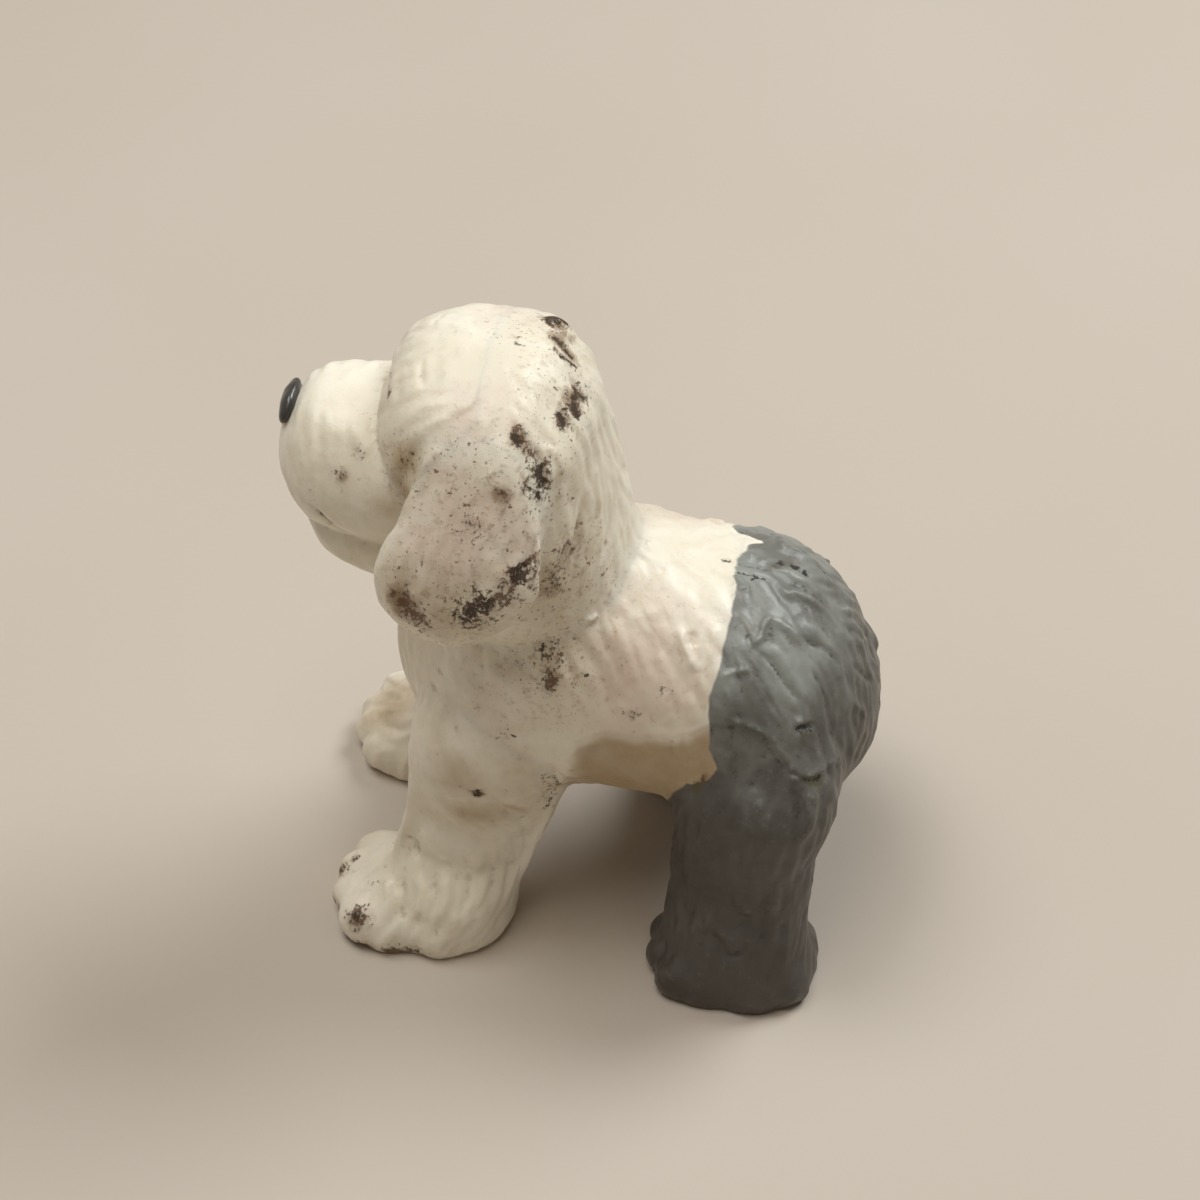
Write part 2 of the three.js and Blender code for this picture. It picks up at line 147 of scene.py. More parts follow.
@dataclass
class Shell:
    """A closed surface in millimetres, its faces an array or, where they differ in corners, a list."""

    points: Array
    faces: list[Face] | Array

    def mesh(self, name: str, scale: float = 1.0) -> bpy.types.Mesh:
        """Makes a Blender mesh of the surface.

        Args:
            name: Name of the mesh.
            scale: Length of a millimetre in the mesh's unit.

        Returns:
            The new mesh.
        """
        if isinstance(self.faces, np.ndarray):
            corners = self.faces.ravel()
        else:
            corners = np.fromiter(chain.from_iterable(self.faces), dtype=np.int32)
        sizes = np.array([len(face) for face in self.faces])
        return smooth_mesh(name, self.points * scale, corners, sizes)

    def tree(self) -> BVHTree:
        """Gives a search tree of the surface."""
        faces = self.faces.tolist() if isinstance(self.faces, np.ndarray) else self.faces
        return BVHTree.FromPolygons(self.points.tolist(), faces)

    def normals(self) -> Array:
        """Gives an outward direction for each point, for faces that are all of four corners."""
        a, b, c, d = (self.points[self.faces[:, k]] for k in range(4))
        across = np.cross(c - a, d - b)
        total = np.zeros_like(self.points)
        for corner in range(4):
            for axis in range(3):
                total[:, axis] += np.bincount(self.faces[:, corner], across[:, axis], len(self.points))
        return unit(total)

    def swell(self, height: Array) -> None:
        """Moves each point outwards by its height."""
        self.points += self.normals() * height[:, None]

    def rest_on_floor(self) -> None:
        """Lifts what is below the floor onto it."""
        self.points[:, 2] = np.maximum(self.points[:, 2], 0.0)


class Sides:
    """The sides of a shell of four-cornered faces, kept for averaging over neighbours."""

    def __init__(self, shell: Shell) -> None:
        """Lists each side once in each direction."""
        faces = shell.faces.astype(np.int64)
        self.start = np.concatenate([faces[:, k] for k in range(4)])
        self.end = np.concatenate([faces[:, (k + 1) % 4] for k in range(4)])
        self.count = np.maximum(np.bincount(self.start, minlength=len(shell.points)), 1)

    def mean(self, values: Array) -> Array:
        """Averages a value per point over the point's neighbours.

        Args:
            values: One number or one row for each point.

        Returns:
            The averages, in the same shape.
        """
        size = len(self.count)
        if values.ndim == 1:
            return np.bincount(self.start, values[self.end], size) / self.count
        columns = [self.mean(values[:, axis]) for axis in range(values.shape[1])]
        return np.stack(columns, axis=1)

    def keys(self) -> tuple[Array, Array]:
        """Gives one number for each side, and the number that the same side has from the face beside it."""
        size = len(self.count)
        return self.start * size + self.end, self.end * size + self.start

    def relaxed(self, values: Array, rounds: int, share: float | Array = 0.5) -> Array:
        """Draws each value towards its neighbours' average again and again.

        Args:
            values: One number or one row for each point.
            rounds: How many times.
            share: How far each time, for all or for each point.

        Returns:
            The smoothed values.
        """
        weight = share
        if isinstance(share, np.ndarray) and values.ndim == 2:
            weight = share[:, None]
        for _ in range(rounds):
            values = values + weight * (self.mean(values) - values)
        return values


@dataclass(frozen=True)
class Section:
    """One oval cut through a form, in millimetres."""

    at: tuple[float, float, float]
    wide: float
    fore: float
    back: float


def spline(knots: Array, shares: Array) -> Array:
    """Draws the curve that the CAD source draws through knots, a centripetal Catmull-Rom spline.

    Args:
        knots: One row for each knot.
        shares: Places along the curve, from 0 to 1.

    Returns:
        One row for each place.
    """
    ends = (2 * knots[:1] - knots[1:2], 2 * knots[-1:] - knots[-2:-1])
    rows = np.concatenate((ends[0], knots, ends[1]))
    place = np.clip(shares, 0, 1) * (len(knots) - 1)
    first = np.minimum(place.astype(int), len(knots) - 2)
    t = (place - first)[:, None]
    p0, p1, p2, p3 = (rows[first + k] for k in range(4))
    pairs = ((p0, p1), (p1, p2), (p2, p3))
    before, middle, after = (np.sqrt(np.linalg.norm(b - a, axis=1, keepdims=True)) for a, b in pairs)
    middle = np.where(middle < SAME_PLACE, 1.0, middle)
    before = np.where(before < SAME_PLACE, middle, before)
    after = np.where(after < SAME_PLACE, middle, after)
    m1 = ((p1 - p0) / before - (p2 - p0) / (before + middle) + (p2 - p1) / middle) * middle
    m2 = ((p2 - p1) / middle - (p3 - p1) / (middle + after) + (p3 - p2) / after) * middle
    bend = -3 * p1 + 3 * p2 - 2 * m1 - m2
    twist = 2 * p1 - 2 * p2 + m1 + m2
    return p1 + m1 * t + bend * t**2 + twist * t**3


def tube_faces(rings: int, around: int, inside_out: bool = False) -> list[Face]:
    """Lists the faces of a skin of rings with a point at each end.

    Args:
        rings: Number of rings.
        around: Points in each ring.
        inside_out: Whether the faces are turned over.

    Returns:
        The faces, for points listed from one end through the rings to the other end.
    """
    faces: list[Face] = []
    last = 1 + (rings - 1) * around
    for step in range(around):
        beside = (step + 1) % around
        faces += [(0, 1 + beside, 1 + step), (last + step, last + beside, last + around)]
        for ring in range(1, last, around):
            faces.append((ring + step, ring + beside, ring + around + beside, ring + around + step))
    return [face[::-1] for face in faces] if inside_out else faces


@dataclass(frozen=True)
class Form:
    """A rounded body lofted through oval sections, closed by a dome at each end."""

    sections: tuple[Section, ...]
    side: Array
    forward: Array
    start_dome: float
    end_dome: float

    def shell(self, rings: int = 64, around: int = 72) -> Shell:
        """Lofts the skin.

        Args:
            rings: Steps from end to end.
            around: Points in each ring.

        Returns:
            The closed skin with faces outwards.
        """
        path = np.array([section.at for section in self.sections])
        reach = np.array([(section.wide, section.fore, section.back) for section in self.sections])
        shares = (1 - np.cos(np.pi * np.arange(1, rings) / rings)) / 2
        middles, reaches = spline(path, shares), spline(reach, shares)
        start, end = path[0], path[-1]
        from_start = np.minimum(np.linalg.norm(middles - start, axis=1) / self.start_dome, 1)
        from_end = np.minimum(np.linalg.norm(middles - end, axis=1) / self.end_dome, 1)
        dome = np.sqrt(1 - (1 - from_start) ** 2) * np.sqrt(1 - (1 - from_end) ** 2)
        angles = 2 * np.pi * np.arange(around) / around
        across = np.cos(angles)[None, :] * (reaches[:, :1] * dome[:, None])
        ahead = np.where(np.sin(angles) > 0, reaches[:, 1:2], reaches[:, 2:3]) * dome[:, None]
        ahead = np.sin(angles)[None, :] * ahead
        rows = middles[:, None, :] + across[..., None] * self.side + ahead[..., None] * self.forward
        points = np.concatenate((start[None], rows.reshape(-1, 3), end[None]))
        inside_out = np.dot(np.cross(self.side, self.forward), end - start) < 0
        return Shell(points, tube_faces(rings - 1, around, inside_out))


def ball(middle: Array, size: Array, rings: int = 16, around: int = 24) -> Shell:
    """Makes a rounded pebble.

    Args:
        middle: Its middle in millimetres.
        size: Its length, width and height.
        rings: Steps from pole to pole.
        around: Points in each ring.

    Returns:
        The closed skin.
    """
    turns = np.pi * np.arange(1, rings) / rings
    angles = 2 * np.pi * np.arange(around) / around
    level = np.sin(turns)[:, None] * np.stack((np.cos(angles), np.sin(angles)))[:, None]
    rows = np.stack((*level, np.cos(turns)[:, None] * np.ones(around)), axis=-1)
    points = np.concatenate((UP[None], rows.reshape(-1, 3), -UP[None])) * size / 2 + middle
    return Shell(points, tube_faces(rings - 1, around, inside_out=True))


def evaluated(mesh: bpy.types.Mesh, dress: Callable[[bpy.types.Object], None]) -> bpy.types.Mesh:
    """Applies modifiers to a mesh and gives the plain result.

    Args:
        mesh: What to start from; it is removed.
        dress: Adds the modifiers to the object that it is given.

    Returns:
        A new mesh without modifiers.
    """
    holder = in_scene("workpiece", mesh)
    dress(holder)
    graph = bpy.context.evaluated_depsgraph_get()
    result = bpy.data.meshes.new_from_object(holder.evaluated_get(graph), depsgraph=graph)
    bpy.data.objects.remove(holder)
    bpy.data.meshes.remove(mesh)
    return result


def read_shell(mesh: bpy.types.Mesh, mixed: bool = False) -> Shell:
    """Takes the arrays of a mesh and removes it.

    Args:
        mesh: The mesh.
        mixed: Whether its faces differ in their number of corners.

    Returns:
        Its points and faces.
    """
    points = np.empty(len(mesh.vertices) * 3, dtype=np.float32)
    mesh.vertices.foreach_get("co", points)
    if mixed:
        faces = [tuple(face.vertices) for face in mesh.polygons]
    else:
        corners = np.empty(len(mesh.loops), dtype=np.int32)
        mesh.loops.foreach_get("vertex_index", corners)
        faces = corners.reshape(len(mesh.polygons), -1)
    bpy.data.meshes.remove(mesh)
    return Shell(points.reshape(-1, 3).astype(np.float64), faces)


def joined(shells: list[Shell]) -> Shell:
    """Puts closed shells into one, without merging them."""
    points = np.concatenate([shell.points for shell in shells])
    faces: list[Face] = []
    offset = 0
    for shell in shells:
        rows = shell.faces.tolist() if isinstance(shell.faces, np.ndarray) else shell.faces
        faces.extend(tuple(corner + offset for corner in face) for face in rows)
        offset += len(shell.points)
    return Shell(points, faces)


def fused(shells: list[Shell], voxel: float) -> Shell:
    """Merges overlapping shells into one skin.

    Args:
        shells: Closed shells.
        voxel: Size of the new faces in millimetres.

    Returns:
        One skin of four-cornered faces.
    """

    def dress(holder: bpy.types.Object) -> None:
        """Adds the remesh."""
        remesh = holder.modifiers.new("fuse", "REMESH")
        remesh.mode = "VOXEL"
        remesh.voxel_size = voxel
        remesh.adaptivity = 0.0

    return read_shell(evaluated(joined(shells).mesh("fuse"), dress))


@dataclass(frozen=True)
class TrunkSizes:
    """Lengths of the trunk in millimetres."""

    chest_width: float = 12.6
    shoulder_width: float = 16.4
    loin_width: float = 15.8
    rump_width: float = 16.4
    rise: float = 8.9
    drop: float = 8.3
    shoulder_seat: float = 1.6
    hip_seat: float = 1.8
    chest_dome: float = 5.0
    rump_dome: float = 8.0


class Trunk:
    """The body from chest to rump."""

    def __init__(self, sizes: TrunkSizes) -> None:
        """Takes the ends from the CAD boxes and the girths from the sizes."""
        self.sizes = sizes
        self.chest_x = box_of("forebody")[0][0]
        self.rump_x = box_of("hindquarters")[1][0]
        self.waist_x = box_of("forebody")[1][0]
        self.spine_z = box_of("front_left_leg")[1][2] - sizes.shoulder_seat
        self.croup_z = box_of("rear_left_leg")[1][2] - sizes.hip_seat

    def form(self) -> Form:
        """Gives the trunk's form."""
        size = self.sizes

        def cut(share: float, z: float, width: float, rise: float, drop: float) -> Section:
            """Makes a section at a share of the trunk's length."""
            x = self.chest_x + share * (self.rump_x - self.chest_x)
            return Section((x, 0, z), width / 2, size.rise * rise, size.drop * drop)

        spine, croup = self.spine_z, self.croup_z
        return Form(
            (
                cut(0, spine * 0.966, size.chest_width * 0.72, 0.67, 0.72),
                cut(0.12, spine * 0.989, size.chest_width, 0.92, 0.9),
                cut(0.3, spine, size.shoulder_width, 1, 1),
                cut(0.5, spine * 0.989, size.loin_width * 0.99, 0.94, 0.93),
                cut(0.7, croup, size.loin_width, 0.92, 0.9),
                cut(0.84, croup * 0.964, size.rump_width, 0.94, 0.89),
                cut(1, croup * 0.905, size.rump_width * 0.93, 0.9, 0.8),
            ),
            ACROSS, UP, size.chest_dome, size.rump_dome,
        )


@dataclass(frozen=True)
class HeadSizes:
    """Lengths of the head in millimetres."""

    skull_width: float = 14.6
    cheek_width: float = 15.4
    neck_width: float = 12.4
    face_reach: float = 5.9
    nape_reach: float = 5.9
    neck_setback: float = 1.0
    crown_dome: float = 4.8
    neck_dome: float = 4.0
    muzzle_root: float = 4.0
    muzzle_width: float = 10.6
    muzzle_rise: float = 4.5
    flew_drop: float = 5.0
    jaw_root: float = 2.2
    jaw_width: float = 8.6
    jaw_depth: float = 6.0
    jaw_drop: float = 4.6
    jaw_tilt: float = 1.6
    fringe_width: float = 14.2
    fringe_thickness: float = 5.4
    fringe_drop: float = 3.2
    fringe_sweep: float = 4.6
    fringe_overhang: float = 0.65
    fringe_slope: float = 0.47
    fringe_low: float = 3.0
    fringe_arch: float = 3.1
    fringe_wrap: float = 2.0
    ear_thickness: float = 2.8
    ear_lean: float = 3.4
    ear_swing: float = 1.4
    ear_breadth: float = 9.8
    ear_trim: float = 0.95


class Head:
    """Skull with its neck, brow fringe, muzzle, lower jaw and ears."""

    def __init__(self, sizes: HeadSizes) -> None:
        """Takes the places from the CAD boxes and the girths from the sizes."""
        self.sizes = sizes
        muzzle_low, muzzle_high = box_of("muzzle")
        self.face_x = muzzle_high[0] - sizes.muzzle_root
        self.tip_x = muzzle_low[0]
        self.muzzle_z = muzzle_high[2] - sizes.muzzle_rise
        self.skull_x = self.face_x + sizes.face_reach
        self.seat_z, self.crown_z = box_of("head")[0][2], box_of("head")[1][2]

    def skull(self) -> Form:
        """Gives the skull and neck."""
        size = self.sizes
        height = self.crown_z - self.seat_z

        def cut(share: float, setback: float, width: float, fore: float, back: float) -> Section:
            """Makes a section at a share of the way down from the crown."""
            at = (self.skull_x + setback * size.neck_setback, 0, self.crown_z - share * height)
            return Section(at, width / 2, size.face_reach * fore, size.nape_reach * back)

        return Form(
            (
                cut(0, 0.2, size.skull_width * 0.945, 0.83, 0.76),
                cut(0.22, 0, size.skull_width, 0.97, 0.93),
                cut(0.47, 0.2, size.cheek_width, 1, 1.05),
                cut(0.7, 0.6, size.cheek_width * 0.97, 1, 1.14),
                cut(1, 1, size.neck_width, 0.93, 1.17),
            ),
            ACROSS, FORWARD, size.crown_dome, size.neck_dome,
        )

    def muzzle(self) -> Form:
        """Gives the muzzle."""
        size = self.sizes
        length = self.face_x - self.tip_x

        def cut(x: float, width: float, rise: float, drop: float) -> Section:
            """Makes a section across the muzzle."""
            reach = (size.muzzle_rise * rise, size.flew_drop * drop)
            return Section((x, 0, self.muzzle_z), size.muzzle_width / 2 * width, *reach)

        return Form(
            (
                cut(self.tip_x, 0.64, 0.84, 0.45),
                cut(self.tip_x + length * 0.42, 0.87, 0.96, 0.85),
                cut(self.face_x + size.muzzle_root * 0.1, 1, 1, 1),
                cut(self.face_x + size.muzzle_root, 1, 1, 1),
            ),
            ACROSS, UP, length * 0.4, size.muzzle_root / 2,
        )

    def jaw(self) -> Form:
        """Gives the lower jaw."""
        size = self.sizes
        tip_x, root_x = box_of("lower_jaw")[0][0], self.face_x + size.jaw_root
        middle_z, half = self.seat_z + size.jaw_drop, size.jaw_depth / 2

        def cut(share: float, lift: float, width: float, depth: float) -> Section:
            """Makes a section at a share of the way from tip to root."""
            at = (tip_x + share * (root_x - tip_x), 0, middle_z + size.jaw_tilt * lift)
            return Section(at, size.jaw_width / 2 * width, half * depth, half * depth)

        return Form(
            (cut(0, 1, 0.56, 0.57), cut(0.4, 0.5, 0.86, 0.83), cut(1, 0, 1, 1)),
            ACROSS, UP, size.jaw_depth / 3, size.jaw_root * 0.7,
        )

    def fringe(self) -> Form:
        """Gives the hair over the eyes."""
        size = self.sizes
        turn, half = size.fringe_slope, size.fringe_thickness / 2
        down = np.array((-math.cos(turn), 0, -math.sin(turn)))
        out = np.array((-math.sin(turn), 0, math.cos(turn)))
        brow_x = self.face_x - size.fringe_overhang + size.fringe_drop

        def cut(across: float, wrap: float, arch: float, full: float) -> Section:
            """Makes a section at a share of the half width."""
            at = (
                brow_x + size.fringe_wrap * wrap,
                across * size.fringe_width / 2,
                self.crown_z - size.fringe_low - size.fringe_arch * arch,
            )
            return Section(at, half * full, size.fringe_drop * full, size.fringe_sweep * full)

        cuts = (cut(-1, 1, 1, 0.75), cut(-0.6, 0.3, 0.3, 0.95), cut(0, 0, 0, 1),
                cut(0.6, 0.3, 0.3, 0.95), cut(1, 1, 1, 0.75))
        return Form(cuts, out, down, half, half)

    def ear(self, side: int) -> Form:
        """Gives one ear.

        Args:
            side: Which one.

        Returns:
            The flap's form.
        """
        size = self.sizes
        low, high = box_of("left_ear" if side == Side.LEFT else "right_ear")
        length = (high[2] - low[2]) * size.ear_trim
        spread = max(abs(low[1]), abs(high[1])) - size.ear_thickness / 2

        def cut(share: float, swing: float, lean: float, fore: float, back: float) -> Section:
            """Makes a section at a share of the way down the flap."""
            y = side * (spread - size.ear_lean * lean)
            at = (self.skull_x - size.ear_swing * swing, y, high[2] - length * share)
            return Section(at, size.ear_thickness / 2, size.ear_breadth * fore, size.ear_breadth * back)

        cuts = (cut(0, -0.2, 1.1, 0.2, 0.16), cut(0.24, -0.2, 0.6, 0.36, 0.3),
                cut(0.6, 0.3, 0, 0.5, 0.44), cut(1, 1, 0, 0.34, 0.22))
        return Form(cuts, ACROSS, FORWARD, length * 0.17, length * 0.23)


@dataclass(frozen=True)
class LegSizes:
    """Lengths of a leg and its paw in millimetres."""

    depth: float
    breadth: float
    paw_length: float = 10.0
    paw_width: float = 7.2
    paw_height: float = 4.6
    toe_count: int = 4
    toe_length: float = 4.5
    toe_width: float = 2.25
    toe_height: float = 3.4
    toe_inset: float = 2.0
    toe_fan: float = 7.0
    tuft_count: int = 7
    tuft_width: float = 2.6
    tuft_depth: float = 1.6
    tuft_height: float = 3.4
    sole_edge: float = 0.4


class Leg:
    """One leg with its paw and toes; a subclass gives its place and its level sections."""

    track = 0.0
    right_ahead = 0.0
    sweep = 0.0
    lean = 0.0
    paw_reach = 0.0
    sections: tuple[tuple[float, ...], ...] = ()

    def __init__(self, node: str, side: int, sizes: LegSizes) -> None:
        """Takes the place from the CAD boxes."""
        self.node, self.side, self.sizes = node, side, sizes
        self.ahead = self.right_ahead if side == Side.RIGHT else 0.0
        self.length = box_of(node)[1][2]
        self.top_x = self.body_x()

    def body_x(self) -> float:
        """Gives the leg's place along the body."""
        raise NotImplementedError

    def form(self) -> Form:
        """Gives the leg's form, from rows of height, sweep, lean, step, breadth, fore and back."""
        size = self.sizes
        wide, deep = size.breadth / 2, size.depth / 2
        cuts = []
        for height, sweep, lean, step, breadth, fore, back in self.sections:
            x = self.top_x + self.sweep * sweep - self.ahead * step
            at = (x, self.side * (self.track - self.lean * lean), self.length * height)
            cuts.append(Section(at, wide * breadth, deep * fore, deep * back))
        return Form(tuple(cuts), ACROSS, FORWARD, deep, size.sole_edge)

    def paw(self) -> list[Shell]:
        """Makes the pad, the toes and the tufts around it."""
        size = self.sizes
        half, half_width = size.paw_length / 2, size.paw_width / 2
        x, y = self.top_x - self.paw_reach - self.ahead, self.side * self.track

        def cut(ahead: float, width: float, height: float) -> Section:
            """Makes a section across the pad."""
            high = size.paw_height * height
            return Section((x - half * ahead, y, size.paw_height * 0.13), half_width * width, high, high)

        pad = Form((cut(-1, 0.78, 0.7), cut(0, 1, 0.87), cut(0.84, 0.92, 0.7)),
                   ACROSS, UP, half * 0.6, half * 0.68)
        shells = [pad.shell(32, 40)]
        for toe in range(size.toe_count):
            share = (toe + 0.5) / size.toe_count - 0.5
            inset = size.toe_inset + size.toe_fan * share * share
            middle = np.array((x - half + inset, y + share * size.paw_width * 0.95, size.toe_height * 0.38))
            shells.append(ball(middle, np.array((size.toe_length, size.toe_width, size.toe_height))))
        deep = size.tuft_depth
        rim = (half - deep * 0.42, half_width - deep * 0.42)
        for tuft in range(size.tuft_count):
            turn = math.radians(100 - 200 * tuft / (size.tuft_count - 1)) + 0.12 * math.sin(5.0 * tuft)
            ahead, aside = rim[0] * math.cos(turn) * 0.96, rim[1] * math.sin(turn)
            middle = np.array((x + ahead, y + aside, size.tuft_height * 0.3))
            wide = size.tuft_width * (1 + 0.16 * math.sin(7.0 * tuft + self.side))
            along, out = abs(math.sin(turn)), abs(math.cos(turn))
            reach = (wide * along + deep * out, wide * out + deep * along, size.tuft_height)
            shells.append(ball(middle, np.array(reach)))
        return shells


class FrontLeg(Leg):
    """A front leg, which rakes forward to its paw."""

    track = 6.6
    right_ahead = 1.6
    sweep = -1.8
    lean = 1.4
    paw_reach = 4.2
    shoulder_back = 6.0
    sections = (
        (1, -0.1, 1, 0, 0.84, 0.95, 1.05),
        (0.73, -0.05, 0.57, 0, 1, 1, 1.12),
        (0.45, 0.17, 0.2, 0.4, 0.97, 1, 0.95),
        (0.19, 0.78, 0, 0.8, 0.92, 1, 0.8),
        (0, 1, 0, 1, 0.92, 1, 0.81),
    )

    def body_x(self) -> float:
        """Gives the shoulder's place along the body."""
        return box_of("forebody")[0][0] + self.shoulder_back


class RearLeg(Leg):
    """A rear leg under its thigh."""

    track = 7.8
    right_ahead = 3.2
    sweep = 0.8
    lean = 2.3
    paw_reach = 1.0
    hip_inset = 6.2
    thigh = 5.3 / 4.6
    sections = (
        (1, 1, 1, 0, 0.84, thigh * 0.81, thigh * 0.81),
        (0.73, 0.63, 0.65, 0.1, 1.05, thigh, thigh * 0.76),
        (0.46, 0, 0.35, 0.45, 1, 1, 0.77),
        (0.215, -0.38, 0.09, 0.8, 0.95, 1, 0.8),
        (0, -0.5, 0, 1, 0.92, 1, 0.86),
    )

    def body_x(self) -> float:
        """Gives the hip's place along the body."""
        return box_of("hindquarters")[1][0] - self.hip_inset


@dataclass(frozen=True)
class HairSizes:
    """Sizes of the sculpted locks in millimetres."""

    spacing: float
    length: float
    radius: float
    sink: float
    lift: float
    wander: float
    seed: int


class NodeWork:
    """Adds and links nodes in one tree."""

    def __init__(self, tree: bpy.types.NodeTree) -> None:
        """Takes the tree."""
        self.tree = tree

    def add(self, kind: str, inputs: dict | None = None, **settings: object) -> bpy.types.Node:
        """Adds a node.

        Args:
            kind: Type of the node.
            inputs: Values or sockets for its inputs, by name or number.
            settings: Its own properties.

        Returns:
            The node.
        """
        node = self.tree.nodes.new(kind)
        for name, value in settings.items():
            setattr(node, name, value)
        for key, value in (inputs or {}).items():
            self.feed(node.inputs[key], value)
        return node

    def feed(self, socket: Socket, value: object) -> None:
        """Links a socket or sets its value."""
        if isinstance(value, Socket):
            self.tree.links.new(value, socket)
        else:
            socket.default_value = value

    def maths(self, operation: str, first: object, second: object = 0.0, third: object = 0.0) -> Socket:
        """Adds a sum of one, two or three numbers."""
        return self.add("ShaderNodeMath", {0: first, 1: second, 2: third}, operation=operation).outputs[0]

    def vectors(self, operation: str, first: object, second: object = (0, 0, 0), scale: object = 1.0) -> Socket:
        """Adds a sum of vectors and gives its vector, or the number of a dot product."""
        inputs = {0: first, "Scale": scale} if operation == "SCALE" else {0: first, 1: second}
        node = self.add("ShaderNodeVectorMath", inputs, operation=operation)
        return node.outputs["Value" if operation == "DOT_PRODUCT" else "Vector"]


